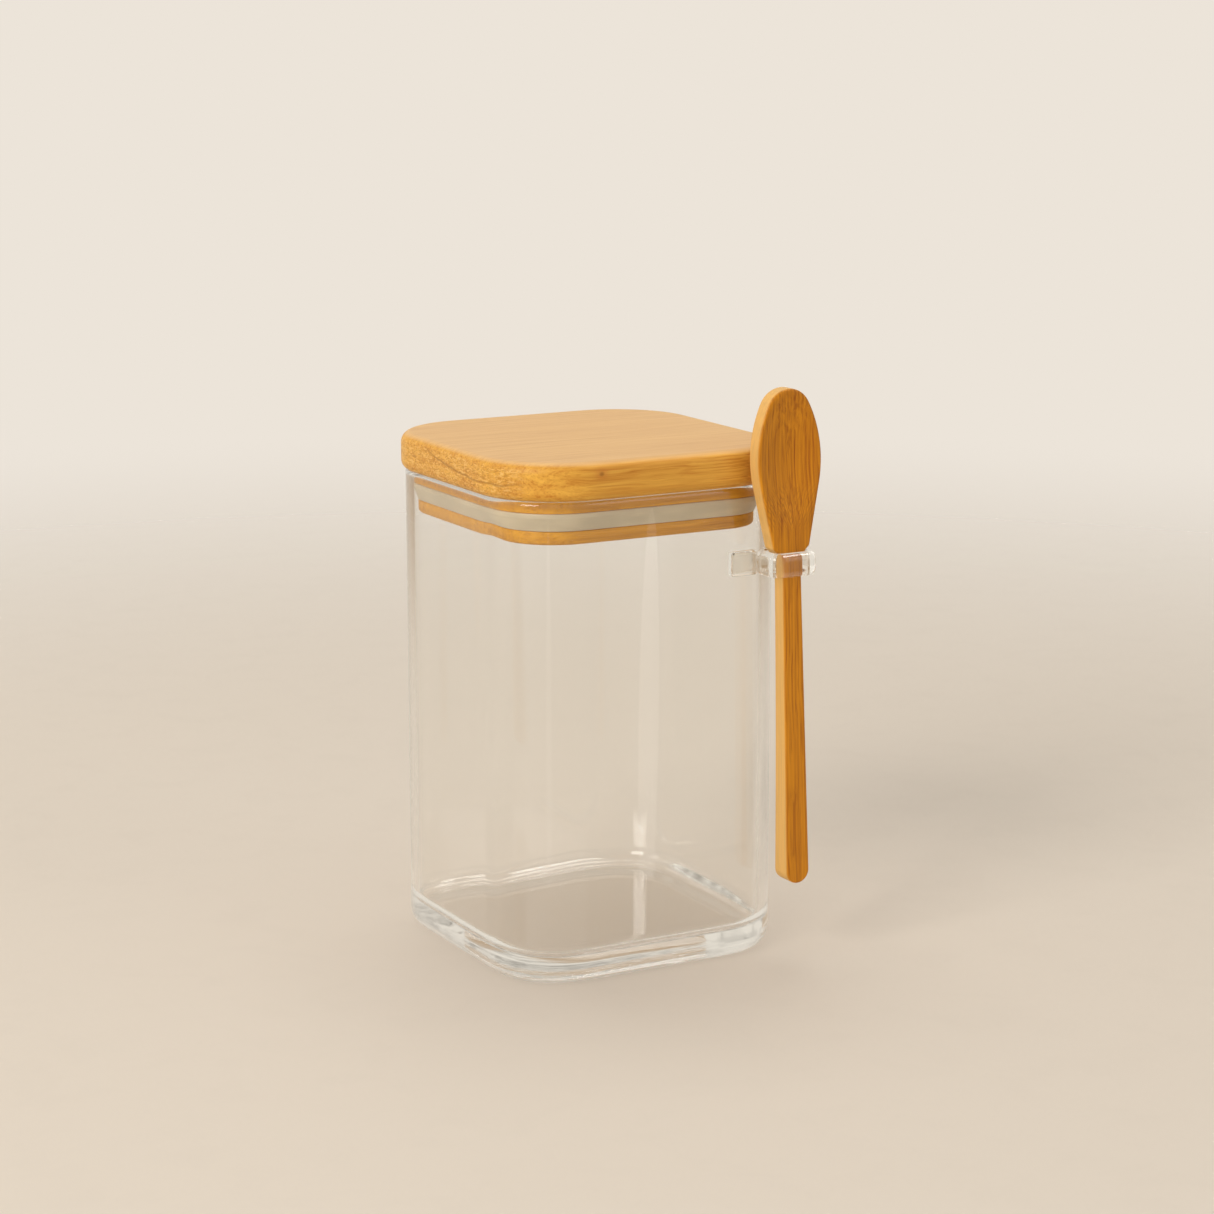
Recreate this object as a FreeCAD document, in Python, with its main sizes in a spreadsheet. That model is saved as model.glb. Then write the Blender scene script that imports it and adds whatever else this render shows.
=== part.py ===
"""A square glass food canister with a bamboo lid, a silicone seal, a clear spoon holder and a bamboo spoon.

The origin is the middle of the glass base, on the surface that the canister stands on. +Z is up and -Y is the
front, which carries the spoon holder near its +X end. Lengths are millimetres and angles are degrees.
"""

import FreeCAD, Part
import math
import os

import Sketcher
from FreeCAD import Placement, Rotation, Vector

# Driving sizes, each with what it measures

SIZES = [
    ("jar_side", 85.0, "outside width of the glass, flat to flat"),
    ("jar_corner", 20.0, "outside radius of the four upright corners"),
    ("jar_height", 131.3, "base to rim"),
    ("wall_thick", 3.2, "glass side wall"),
    ("floor_thick", 7.0, "glass floor"),
    ("foot_round", 5.0, "outside round between wall and base"),
    ("floor_round", 4.0, "inside round between wall and floor"),
    ("rim_round", 1.2, "fire-polished round on both edges of the rim"),
    ("lid_overhang", 1.55, "how far the lid board stands out past the glass"),
    ("board_corner", 23.5, "corner radius of the lid board"),
    ("board_thick", 10.3, "lid board, top to underside"),
    ("board_round_top", 3.0, "round on the upper edge of the lid board"),
    ("board_round_base", 2.5, "round on the lower edge of the lid board"),
    ("neck_depth", 3.4, "plug from the lid board down to the seal"),
    ("neck_gap", 0.4, "plug neck to glass"),
    ("seal_depth", 4.9, "height of the seal and of its groove"),
    ("seal_gap", 0.2, "seal land to glass"),
    ("seal_land", 1.2, "upright band at the top of the seal"),
    ("seal_flare", 1.7, "how far the seal's top stands out past its foot"),
    ("seal_root", 1.4, "thickness of the seal's root in the groove"),
    ("seal_slot", 1.0, "width of the slot behind the seal's lip"),
    ("seal_slot_depth", 2.6, "depth of that slot from the seal's top"),
    ("seal_lip", 1.6, "thickness of the seal's lip at the top"),
    ("seal_fit", 0.05, "seal to groove"),
    ("lip_depth", 3.7, "plug lip below the seal"),
    ("lip_gap", 2.1, "plug lip to glass"),
    ("lip_round", 1.0, "round on the lower edge of the plug"),
    ("bond_thick", 0.5, "clear adhesive pad between glass and holder"),
    ("bond_inset", 1.0, "how far the pad stays inside the holder's foot"),
    ("bond_corner", 1.0, "corner radius of the adhesive pad"),
    ("holder_height", 6.7, "height of the holder's ring and foot"),
    ("holder_drop", 17.0, "rim of the glass down to the top of the holder"),
    ("ring_inset", 8.15, "middle of the ring in from the side of the glass"),
    ("ring_forward", 5.3, "middle of the ring in front of the glass"),
    ("ring_wall", 2.3, "thickness of the ring's wall"),
    ("ring_corner", 1.4, "corner radius of the ring's opening"),
    ("ring_dome", 2.0, "round on the ring's outer edges"),
    ("ring_ease", 0.5, "round on the edges of the ring's opening"),
    ("holder_foot_reach", 7.5, "how far the holder's foot reaches along the glass past the ring"),
    ("holder_foot_thick", 1.9, "holder's foot where the glass is flat"),
    ("holder_foot_corner", 1.2, "plan radius of the foot's corners"),
    ("holder_foot_ease", 0.8, "round on the foot's upper and lower edges"),
    ("ring_play", 0.5, "spoon handle to ring, front and back"),
    ("shoulder_rest", 0.6, "how far each spoon shoulder reaches over the ring"),
    ("rest_gap", 0.5, "spoon shoulder above the ring"),
    ("spoon_tilt", 2.1, "lean of the spoon towards the lid, in degrees"),
    ("bowl_length", 42.7, "spoon shoulder to tip"),
    ("bowl_width", 19.7, "widest part of the bowl"),
    ("bowl_widest", 23.6, "spoon shoulder up to the widest part of the bowl"),
    ("bowl_thick", 4.9, "thickness of the bowl and of the shoulder"),
    ("bowl_tip", 7.0, "radius of the bowl's tip"),
    ("scoop_depth", 2.1, "depth of the hollow in the bowl"),
    ("scoop_margin", 1.25, "rim left round the hollow"),
    ("shoulder_width", 11.35, "bowl across its shoulder"),
    ("shoulder_drop", 2.85, "height over which the shoulder narrows to the handle"),
    ("handle_length", 93.6, "spoon shoulder to the end of the handle"),
    ("handle_top_width", 5.7, "handle below the shoulder, seen from the front"),
    ("handle_end_width", 7.15, "handle near its end, seen from the front"),
    ("handle_end_thick", 6.8, "handle near its end, seen from the side"),
    ("shoulder_round", 1.15, "round on the outside of each shoulder"),
    ("neck_round", 2.85, "round in the hollow of each shoulder"),
    ("spoon_ease", 0.7, "round on the spoon's long edges"),
]

document = FreeCAD.newDocument("FoodCanister")
sheet = document.addObject("Spreadsheet::Sheet", "Sizes")
for row, (alias, number, meaning) in enumerate(SIZES, start=1):
    sheet.set(f"A{row}", alias)
    sheet.set(f"B{row}", str(number))
    sheet.setAlias(f"B{row}", alias)
    sheet.set(f"C{row}", meaning)
document.recompute()

# Sizes and places that follow from the driving ones, as formulas of the sheet's cells

INNER_SIDE = "(Sizes.jar_side - 2 * Sizes.wall_thick)"
INNER_CORNER = "(Sizes.jar_corner - Sizes.wall_thick)"
BOARD_SIDE = "(Sizes.jar_side + 2 * Sizes.lid_overhang)"
NECK_SIDE = f"({INNER_SIDE} - 2 * Sizes.neck_gap)"
NECK_CORNER = f"({INNER_CORNER} - Sizes.neck_gap)"
SEAL_SIDE = f"({INNER_SIDE} - 2 * Sizes.seal_gap)"
SEAL_CORNER = f"({INNER_CORNER} - Sizes.seal_gap)"
SEAL_FOOT_SIDE = f"({SEAL_SIDE} - 2 * Sizes.seal_flare)"
SEAL_FOOT_CORNER = f"({SEAL_CORNER} - Sizes.seal_flare)"
SEAL_REACH = "(Sizes.seal_lip + Sizes.seal_slot + Sizes.seal_root)"
SEAL_BORE_SIDE = f"({SEAL_SIDE} - 2 * {SEAL_REACH})"
SEAL_BORE_CORNER = f"({SEAL_CORNER} - {SEAL_REACH})"
GROOVE_SIDE = f"({SEAL_BORE_SIDE} - 2 * Sizes.seal_fit)"
GROOVE_CORNER = f"({SEAL_BORE_CORNER} - Sizes.seal_fit)"
LIP_SIDE = f"({INNER_SIDE} - 2 * Sizes.lip_gap)"
LIP_CORNER = f"({INNER_CORNER} - Sizes.lip_gap)"
SEAL_TOP = "(Sizes.jar_height - Sizes.neck_depth)"
SEAL_BASE = f"({SEAL_TOP} - Sizes.seal_depth)"

RING_OPEN_X = "(Sizes.shoulder_width - 2 * Sizes.shoulder_rest)"
RING_OPEN_Y = "(Sizes.handle_end_thick + 2 * Sizes.ring_play)"
SHOULDER_LEVEL = (
    "(Sizes.rest_gap + 2 * Sizes.shoulder_drop * Sizes.shoulder_rest"
    " / (Sizes.shoulder_width - Sizes.handle_top_width))"
)
WIDEST_LEVEL = f"({SHOULDER_LEVEL} + Sizes.bowl_widest)"
TIP_LEVEL = f"({SHOULDER_LEVEL} + Sizes.bowl_length)"
NECK_LEVEL = f"({SHOULDER_LEVEL} - Sizes.shoulder_drop)"
END_LEVEL = f"({SHOULDER_LEVEL} - Sizes.handle_length)"
TIP_MIDDLE = f"({TIP_LEVEL} - Sizes.bowl_tip)"
END_MIDDLE = f"({END_LEVEL} + Sizes.handle_end_width / 2)"
FLANK_RADIUS = (
    f"(((Sizes.bowl_width / 2) ^ 2 + ({TIP_MIDDLE} - {WIDEST_LEVEL}) ^ 2 - Sizes.bowl_tip ^ 2)"
    " / (Sizes.bowl_width - 2 * Sizes.bowl_tip))"
)
BLANK_THICK = "max(Sizes.bowl_thick; Sizes.handle_end_thick)"
SCOOP_HALF_LENGTH = "(min(Sizes.bowl_widest; Sizes.bowl_length - Sizes.bowl_widest) - Sizes.scoop_margin)"
SCOOP_HALF_WIDTH = "(Sizes.bowl_width / 2 - Sizes.scoop_margin)"
RING_X = "(Sizes.jar_side / 2 - Sizes.ring_inset)"
RING_Y = "(-Sizes.jar_side / 2 - Sizes.ring_forward)"
HOLDER_TOP = "(Sizes.jar_height - Sizes.holder_drop)"
HOLDER_BASE = f"({HOLDER_TOP} - Sizes.holder_height)"
BOND_SIDE = "(Sizes.jar_side + 2 * Sizes.bond_thick)"
BOND_CORNER = "(Sizes.jar_corner + Sizes.bond_thick)"
FOOT_LONG = "(Sizes.holder_foot_reach + Sizes.ring_wall / 2)"
FOOT_X = f"({RING_X} - {RING_OPEN_X} / 2 - Sizes.ring_wall / 2 - {FOOT_LONG} / 2)"
FOOT_FRONT = "(Sizes.jar_side / 2 + Sizes.bond_thick + Sizes.holder_foot_thick)"
FOOT_DEEP = "(Sizes.holder_foot_thick + Sizes.bond_thick + Sizes.jar_corner / 2)"
FOOT_Y = f"({FOOT_DEEP} / 2 - {FOOT_FRONT})"


def size(formula):
    """The number that a formula of the sheet's cells gives."""
    return float(sheet.evalExpression(formula))


# Sketches and features that several pieces share


def new_body(label):
    """An empty body whose label names the piece's file."""
    body = document.addObject("PartDesign::Body", label)
    body.Label = label
    return body


def origin_plane(body, role):
    """One of the body's own three origin planes."""
    return next(feature for feature in body.Origin.OriginFeatures if feature.Role == role)


def new_sketch(body, name, role="XY_Plane", shift=(None, None, None)):
    """A sketch on an origin plane, moved in the plane's own axes by formulas."""
    sketch = body.newObject("Sketcher::SketchObject", name)
    sketch.AttachmentSupport = [(origin_plane(body, role), "")]
    sketch.MapMode = "FlatFace"
    for axis, formula in zip("xyz", shift):
        if formula:
            sketch.setExpression(f"AttachmentOffset.Base.{axis}", formula)
    return sketch


def bind(sketch, name, constraint, formula):
    """Adds a named constraint whose value follows a formula."""
    index = sketch.addConstraint(constraint)
    sketch.renameConstraint(index, name)
    sketch.setExpression(f"Constraints.{name}", formula)


def rounded_rectangle(sketch, wide, tall, corner, name="Outline"):
    """A closed rectangle with equal round corners, centred on the sketch's origin."""
    half_wide = size(wide) / 2
    half_tall = size(tall) / 2
    radius = size(corner)
    axis = Vector(0, 0, 1)
    corners = [(1, -1, -90), (1, 1, 0), (-1, 1, 90), (-1, -1, 180)]
    arcs = []
    for side_x, side_y, start in corners:
        middle = Vector(side_x * (half_wide - radius), side_y * (half_tall - radius), 0)
        circle = Part.Circle(middle, axis, radius)
        arcs.append(Part.ArcOfCircle(circle, math.radians(start), math.radians(start + 90)))
    edges = []
    for index, arc in enumerate(arcs):
        edges.append(Part.LineSegment(arcs[index - 1].EndPoint, arc.StartPoint))
        edges.append(arc)
    first = sketch.addGeometry(edges, False)[0]
    count = len(edges)
    for index in range(count):
        after = first + (index + 1) % count
        sketch.addConstraint(Sketcher.Constraint("Tangent", first + index, 2, after, 1))
    for index, kind in zip(range(0, count, 2), ("Horizontal", "Vertical", "Horizontal", "Vertical")):
        sketch.addConstraint(Sketcher.Constraint(kind, first + index))
    for index in range(1, count - 2, 2):
        sketch.addConstraint(Sketcher.Constraint("Equal", first + index, first + index + 2))
    sketch.addConstraint(Sketcher.Constraint("Symmetric", first + 1, 3, first + 5, 3, -1, 1))
    bind(sketch, f"{name}Corner", Sketcher.Constraint("Radius", first + 1, radius), corner)
    bind(sketch, f"{name}Wide", Sketcher.Constraint("DistanceX", first + 6, 1, first + 2, 1, 2 * half_wide), wide)
    bind(sketch, f"{name}Tall", Sketcher.Constraint("DistanceY", first, 1, first + 4, 1, 2 * half_tall), tall)
    return sketch


def square_sketch(body, name, side, corner, level=None):
    """A rounded square about the canister's upright axis, at a height."""
    sketch = new_sketch(body, name, shift=(None, None, level))
    return rounded_rectangle(sketch, side, side, corner)


def pad(body, sketch, name, length, down=False):
    """Material from a sketch along its normal, or against it."""
    feature = body.newObject("PartDesign::Pad", name)
    feature.Profile = sketch
    feature.Reversed = down
    feature.setExpression("Length", length)
    document.recompute()
    return feature


def pocket(body, sketch, name, length, up=False):
    """A cut from a sketch against its normal, or along it."""
    before = body.Shape.Volume
    feature = body.newObject("PartDesign::Pocket", name)
    feature.Profile = sketch
    feature.Reversed = up
    feature.setExpression("Length", length)
    document.recompute()
    if body.Shape.Volume >= before:
        raise RuntimeError(f"{body.Label}: {name} cut nothing")
    return feature


def round_edges(body, name, radius, chosen):
    """A fillet on the edges of the body's present shape that a test of their box picks."""
    base = body.Tip
    picked = [f"Edge{n}" for n, edge in enumerate(base.Shape.Edges, start=1) if chosen(edge.BoundBox)]
    if not picked:
        raise RuntimeError(f"{body.Label}: {name} found no edge")
    feature = body.newObject("PartDesign::Fillet", name)
    feature.Base = (base, picked)
    feature.setExpression("Radius", radius)
    document.recompute()
    return feature


NEAR = 1e-4


def flat_at(level):
    """Picks the edges that lie in the level plane at a height."""
    return lambda box: abs(box.ZMin - level) < NEAR and abs(box.ZMax - level) < NEAR


# Glass jar: a thick-floored square tumbler with round corners and a polished rim


def make_glass_jar():
    body = new_body("glass_jar")
    pad(body, square_sketch(body, "JarOutline", "Sizes.jar_side", "Sizes.jar_corner"), "JarBlock", "Sizes.jar_height")
    round_edges(body, "JarFoot", "Sizes.foot_round", flat_at(0))
    inside = square_sketch(body, "JarInside", INNER_SIDE, INNER_CORNER, "Sizes.floor_thick")
    pocket(body, inside, "JarHollow", "Sizes.jar_height - Sizes.floor_thick", up=True)
    round_edges(body, "JarFloor", "Sizes.floor_round", flat_at(size("Sizes.floor_thick")))
    round_edges(body, "JarRim", "Sizes.rim_round", flat_at(size("Sizes.jar_height")))
    return body


# Lid: a bamboo board, a bamboo plug glued under it, and the seal in the plug's groove


def make_lid_board():
    body = new_body("lid_board")
    outline = square_sketch(body, "BoardOutline", BOARD_SIDE, "Sizes.board_corner", "Sizes.jar_height")
    pad(body, outline, "BoardBlock", "Sizes.board_thick")
    top = size("Sizes.jar_height + Sizes.board_thick")
    round_edges(body, "BoardTop", "Sizes.board_round_top", flat_at(top))
    round_edges(body, "BoardBase", "Sizes.board_round_base", flat_at(size("Sizes.jar_height")))
    return body


def make_lid_plug():
    body = new_body("lid_plug")
    neck = square_sketch(body, "NeckOutline", NECK_SIDE, NECK_CORNER, "Sizes.jar_height")
    pad(body, neck, "Neck", "Sizes.neck_depth", down=True)
    groove = square_sketch(body, "GrooveOutline", GROOVE_SIDE, GROOVE_CORNER, SEAL_TOP)
    pad(body, groove, "Groove", "Sizes.seal_depth", down=True)
    lip = square_sketch(body, "LipOutline", LIP_SIDE, LIP_CORNER, SEAL_BASE)
    pad(body, lip, "Lip", "Sizes.lip_depth", down=True)
    round_edges(body, "LipEdge", "Sizes.lip_round", flat_at(size(f"{SEAL_BASE} - Sizes.lip_depth")))
    return body


def make_lid_seal():
    body = new_body("lid_seal")
    land_base = f"({SEAL_TOP} - Sizes.seal_land)"
    foot = square_sketch(body, "SealFoot", SEAL_FOOT_SIDE, SEAL_FOOT_CORNER, SEAL_BASE)
    shoulder = square_sketch(body, "SealShoulder", SEAL_SIDE, SEAL_CORNER, land_base)
    flare = body.newObject("PartDesign::AdditiveLoft", "SealFlare")
    flare.Profile = foot
    flare.Sections = [shoulder]
    flare.Ruled = True
    document.recompute()
    land = square_sketch(body, "SealLand", SEAL_SIDE, SEAL_CORNER, land_base)
    pad(body, land, "SealBand", "Sizes.seal_land")
    bore = square_sketch(body, "SealBore", SEAL_BORE_SIDE, SEAL_BORE_CORNER, SEAL_BASE)
    pocket(body, bore, "SealHole", "Sizes.seal_depth", up=True)
    slot = new_sketch(body, "SealSlot", shift=(None, None, SEAL_TOP))
    for name, inset in (("Outer", "Sizes.seal_lip"), ("Inner", "(Sizes.seal_lip + Sizes.seal_slot)")):
        side = f"({SEAL_SIDE} - 2 * {inset})"
        rounded_rectangle(slot, side, side, f"({SEAL_CORNER} - {inset})", name)
    pocket(body, slot, "SealSlotCut", "Sizes.seal_slot_depth")
    return body


# Spoon holder: a clear ring on a foot that is shaped to the glass and bonded to it


def make_glass_outline(label, side, corner):
    """An upright block with the glass's outline, or one a little larger, at the height of the holder."""
    body = new_body(label)
    outline = square_sketch(body, f"{label}_plan", side, corner, f"({HOLDER_BASE} - Sizes.holder_height)")
    pad(body, outline, f"{label}_block", "(3 * Sizes.holder_height)")
    return body


def make_adhesive_pad(outside):
    """A sheet of even thickness that follows the glass behind the holder's foot."""
    layer = document.addObject("Part::Cut", "bond_layer")
    layer.Base = outside
    layer.Tool = make_glass_outline("glass_outline", "Sizes.jar_side", "Sizes.jar_corner")
    window = new_body("bond_window")
    middle = f"({HOLDER_TOP} - Sizes.holder_height / 2)"
    face = new_sketch(window, "BondOutline", "XZ_Plane", (FOOT_X, middle, FOOT_FRONT))
    long = f"({FOOT_LONG} - 2 * Sizes.bond_inset)"
    tall = "(Sizes.holder_height - 2 * Sizes.bond_inset)"
    rounded_rectangle(face, long, tall, "Sizes.bond_corner")
    pad(window, face, "BondBlock", FOOT_DEEP, down=True)
    bond = document.addObject("Part::Common", "adhesive_pad")
    bond.Label = "adhesive_pad"
    bond.Base = layer
    bond.Tool = window
    document.recompute()
    return bond


def make_holder_foot():
    """The block between the ring and the glass, before its back is shaped."""
    body = new_body("holder_foot")
    plan = new_sketch(body, "FootPlan", shift=(FOOT_X, FOOT_Y, HOLDER_BASE))
    rounded_rectangle(plan, FOOT_LONG, FOOT_DEEP, "Sizes.holder_foot_corner")
    pad(body, plan, "FootBlock", "Sizes.holder_height")
    for name, level in (("FootTop", HOLDER_TOP), ("FootBase", HOLDER_BASE)):
        round_edges(body, name, "Sizes.holder_foot_ease", flat_at(size(level)))
    return body


def make_holder_ring():
    """The solid ring, with a domed outside, before its opening is cut."""
    body = new_body("holder_ring")
    plan = new_sketch(body, "RingPlan", shift=(RING_X, RING_Y, HOLDER_BASE))
    wide = f"({RING_OPEN_X} + 2 * Sizes.ring_wall)"
    deep = f"({RING_OPEN_Y} + 2 * Sizes.ring_wall)"
    rounded_rectangle(plan, wide, deep, "(Sizes.ring_corner + Sizes.ring_wall)")
    pad(body, plan, "RingBlock", "Sizes.holder_height")
    for name, level in (("RingTop", HOLDER_TOP), ("RingBase", HOLDER_BASE)):
        round_edges(body, name, "Sizes.ring_dome", flat_at(size(level)))
    return body


def make_ring_opening():
    """The space that the spoon's handle passes through."""
    body = new_body("ring_opening")
    plan = new_sketch(body, "OpeningPlan", shift=(RING_X, RING_Y, HOLDER_BASE))
    rounded_rectangle(plan, RING_OPEN_X, RING_OPEN_Y, "Sizes.ring_corner")
    pad(body, plan, "Opening", "Sizes.holder_height")
    return body


def make_spoon_holder(outside):
    block = document.addObject("Part::Fuse", "holder_block")
    block.Base = make_holder_foot()
    block.Tool = make_holder_ring()
    shaped = document.addObject("Part::Cut", "holder_shaped")
    shaped.Base = block
    shaped.Tool = outside
    bored = document.addObject("Part::Cut", "holder_bored")
    bored.Base = shaped
    bored.Tool = make_ring_opening()
    document.recompute()
    opening = bored.Tool.Shape.BoundBox
    holder = document.addObject("Part::Fillet", "spoon_holder")
    holder.Label = "spoon_holder"
    holder.Base = bored
    ease = size("Sizes.ring_ease")
    picked = []
    for number, edge in enumerate(bored.Shape.Edges, start=1):
        box = edge.BoundBox
        level = box.ZMax - box.ZMin < NEAR
        within = opening.isInside(Vector(box.XMin, box.YMin, box.ZMin))
        if level and within and opening.isInside(Vector(box.XMax, box.YMax, box.ZMax)):
            picked.append((number, ease, ease))
    holder.Edges = picked
    document.recompute()
    return holder


# Spoon: one bamboo blank with a hollowed bowl, shoulders and a handle that thickens towards its end.
# It is drawn upright with its origin at the top of the ring, then leaned and moved to its place.


def mirrored(point):
    """The same point on the other side of the spoon."""
    return Vector(-point.x, point.y, 0)


def touch_point(middle, radius, outside, turn):
    """Where a line from a point outside a circle touches it, to the left (1) or right (-1) of the way out."""
    way = outside - middle
    angle = math.atan2(way.y, way.x) + turn * math.acos(radius / way.Length)
    return middle + Vector(radius * math.cos(angle), radius * math.sin(angle), 0)


def arc_from(middle, first, last):
    """The counter-clockwise arc about a point from one point to another."""
    circle = Part.Circle(middle, Vector(0, 0, 1), (first - middle).Length)
    start = math.atan2(first.y - middle.y, first.x - middle.x)
    sweep = math.atan2(last.y - middle.y, last.x - middle.x) - start
    return Part.ArcOfCircle(circle, start, start + sweep % (2 * math.pi))


def draw_spoon_front(sketch):
    """The front view, counter-clockwise from the round end of the handle."""
    end_middle = Vector(0, size(END_MIDDLE), 0)
    tip_middle = Vector(0, size(TIP_MIDDLE), 0)
    flank_radius = size(FLANK_RADIUS)
    flank_middle = Vector(size("Sizes.bowl_width / 2") - flank_radius, size(WIDEST_LEVEL), 0)
    shoulder = Vector(size("Sizes.shoulder_width / 2"), size(SHOULDER_LEVEL), 0)
    neck = Vector(size("Sizes.handle_top_width / 2"), size(NECK_LEVEL), 0)
    end = touch_point(end_middle, size("Sizes.handle_end_width / 2"), neck, -1)
    taper = touch_point(flank_middle, flank_radius, shoulder, 1)
    way = tip_middle - flank_middle
    crown = flank_middle + way * (flank_radius / way.Length)
    edges = [
        arc_from(end_middle, mirrored(end), end),
        Part.LineSegment(end, neck),
        Part.LineSegment(neck, shoulder),
        Part.LineSegment(shoulder, taper),
        arc_from(flank_middle, taper, crown),
        arc_from(tip_middle, crown, mirrored(crown)),
        arc_from(mirrored(flank_middle), mirrored(crown), mirrored(taper)),
        Part.LineSegment(mirrored(taper), mirrored(shoulder)),
        Part.LineSegment(mirrored(shoulder), mirrored(neck)),
        Part.LineSegment(mirrored(neck), mirrored(end)),
    ]
    sketch.addGeometry(edges, False)
    end_arc, right_handle, right_shoulder, right_taper, right_flank, tip, left_flank, left_taper = range(8)
    left_shoulder, left_handle = 8, 9
    smooth = (end_arc, right_taper, right_flank, tip, left_flank, left_handle)
    for index in range(len(edges)):
        kind = "Tangent" if index in smooth else "Coincident"
        sketch.addConstraint(Sketcher.Constraint(kind, index, 2, (index + 1) % len(edges), 1))
    axis = -2
    for middle in (end_arc, tip):
        sketch.addConstraint(Sketcher.Constraint("PointOnObject", middle, 3, axis))
    for right, left in ((right_shoulder, left_taper), (right_handle, left_shoulder)):
        sketch.addConstraint(Sketcher.Constraint("Symmetric", right, 2, left, 2, axis))
    sketch.addConstraint(Sketcher.Constraint("Equal", right_flank, left_flank))
    sketch.addConstraint(Sketcher.Constraint("Horizontal", right_flank, 3, left_flank, 3))
    for name, edge, formula in (
        ("TipRadius", tip, "Sizes.bowl_tip"),
        ("FlankRadius", right_flank, FLANK_RADIUS),
        ("EndRadius", end_arc, "Sizes.handle_end_width / 2"),
    ):
        bind(sketch, name, Sketcher.Constraint("Radius", edge, size(formula)), formula)
    for name, left, right, formula in (
        ("ShoulderWide", left_taper, right_shoulder, "Sizes.shoulder_width"),
        ("NeckWide", left_shoulder, right_handle, "Sizes.handle_top_width"),
    ):
        bind(sketch, name, Sketcher.Constraint("DistanceX", left, 2, right, 2, size(formula)), formula)
    for name, edge, point, formula in (
        ("TipMiddle", tip, 3, TIP_MIDDLE),
        ("WidestLevel", right_flank, 3, WIDEST_LEVEL),
        ("ShoulderLevel", right_shoulder, 2, SHOULDER_LEVEL),
    ):
        bind(sketch, name, Sketcher.Constraint("DistanceY", -1, 1, edge, point, size(formula)), formula)
    for name, edge, point, level in (
        ("NeckBelow", right_handle, 2, NECK_LEVEL),
        ("EndMiddle", end_arc, 3, END_MIDDLE),
    ):
        below = f"(-{level})"
        bind(sketch, name, Sketcher.Constraint("DistanceY", edge, point, -1, 1, size(below)), below)
    return sketch


def draw_spoon_back(sketch):
    """The side view of the waste behind the flat back of the bowl and the long curve of the handle's back."""
    outside = f"({BLANK_THICK} + Sizes.bowl_thick)"
    above = f"({TIP_LEVEL} + Sizes.bowl_thick)"
    top = Vector(size("Sizes.bowl_thick"), size(above), 0)
    bend = Vector(top.x, size(SHOULDER_LEVEL), 0)
    end = Vector(size("Sizes.handle_end_thick"), size(END_LEVEL), 0)
    far = Vector(size(outside), top.y, 0)
    reach = end - bend
    middle = bend + Vector(reach.Length ** 2 / (2 * reach.x), 0, 0)
    edges = [
        Part.LineSegment(top, bend),
        arc_from(middle, bend, end),
        Part.LineSegment(end, Vector(far.x, end.y, 0)),
        Part.LineSegment(Vector(far.x, end.y, 0), far),
        Part.LineSegment(far, top),
    ]
    sketch.addGeometry(edges, False)
    bowl_back, handle_back, below, behind, over = range(len(edges))
    sketch.addConstraint(Sketcher.Constraint("Tangent", bowl_back, 2, handle_back, 1))
    for first, second in ((handle_back, below), (below, behind), (behind, over), (over, bowl_back)):
        sketch.addConstraint(Sketcher.Constraint("Coincident", first, 2, second, 1))
    for kind, edge in (("Vertical", bowl_back), ("Horizontal", below), ("Vertical", behind), ("Horizontal", over)):
        sketch.addConstraint(Sketcher.Constraint(kind, edge))
    for name, kind, edge, formula in (
        ("BowlThick", "DistanceX", bowl_back, "Sizes.bowl_thick"),
        ("BendLevel", "DistanceY", bowl_back, SHOULDER_LEVEL),
        ("EndThick", "DistanceX", handle_back, "Sizes.handle_end_thick"),
        ("WasteThick", "DistanceX", behind, outside),
        ("WasteTop", "DistanceY", behind, above),
    ):
        bind(sketch, name, Sketcher.Constraint(kind, -1, 1, edge, 2, size(formula)), formula)
    drop = f"(-{END_LEVEL})"
    bind(sketch, "EndBelow", Sketcher.Constraint("DistanceY", handle_back, 2, -1, 1, size(drop)), drop)
    return sketch


def crosswise_at(half_width, height):
    """Picks the edges that run through the blank's thickness at one width and height."""
    at_height = flat_at(height)
    return lambda box: (
        at_height(box)
        and abs(abs(box.XMin) - half_width) < NEAR
        and abs(abs(box.XMax) - half_width) < NEAR
    )


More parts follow.
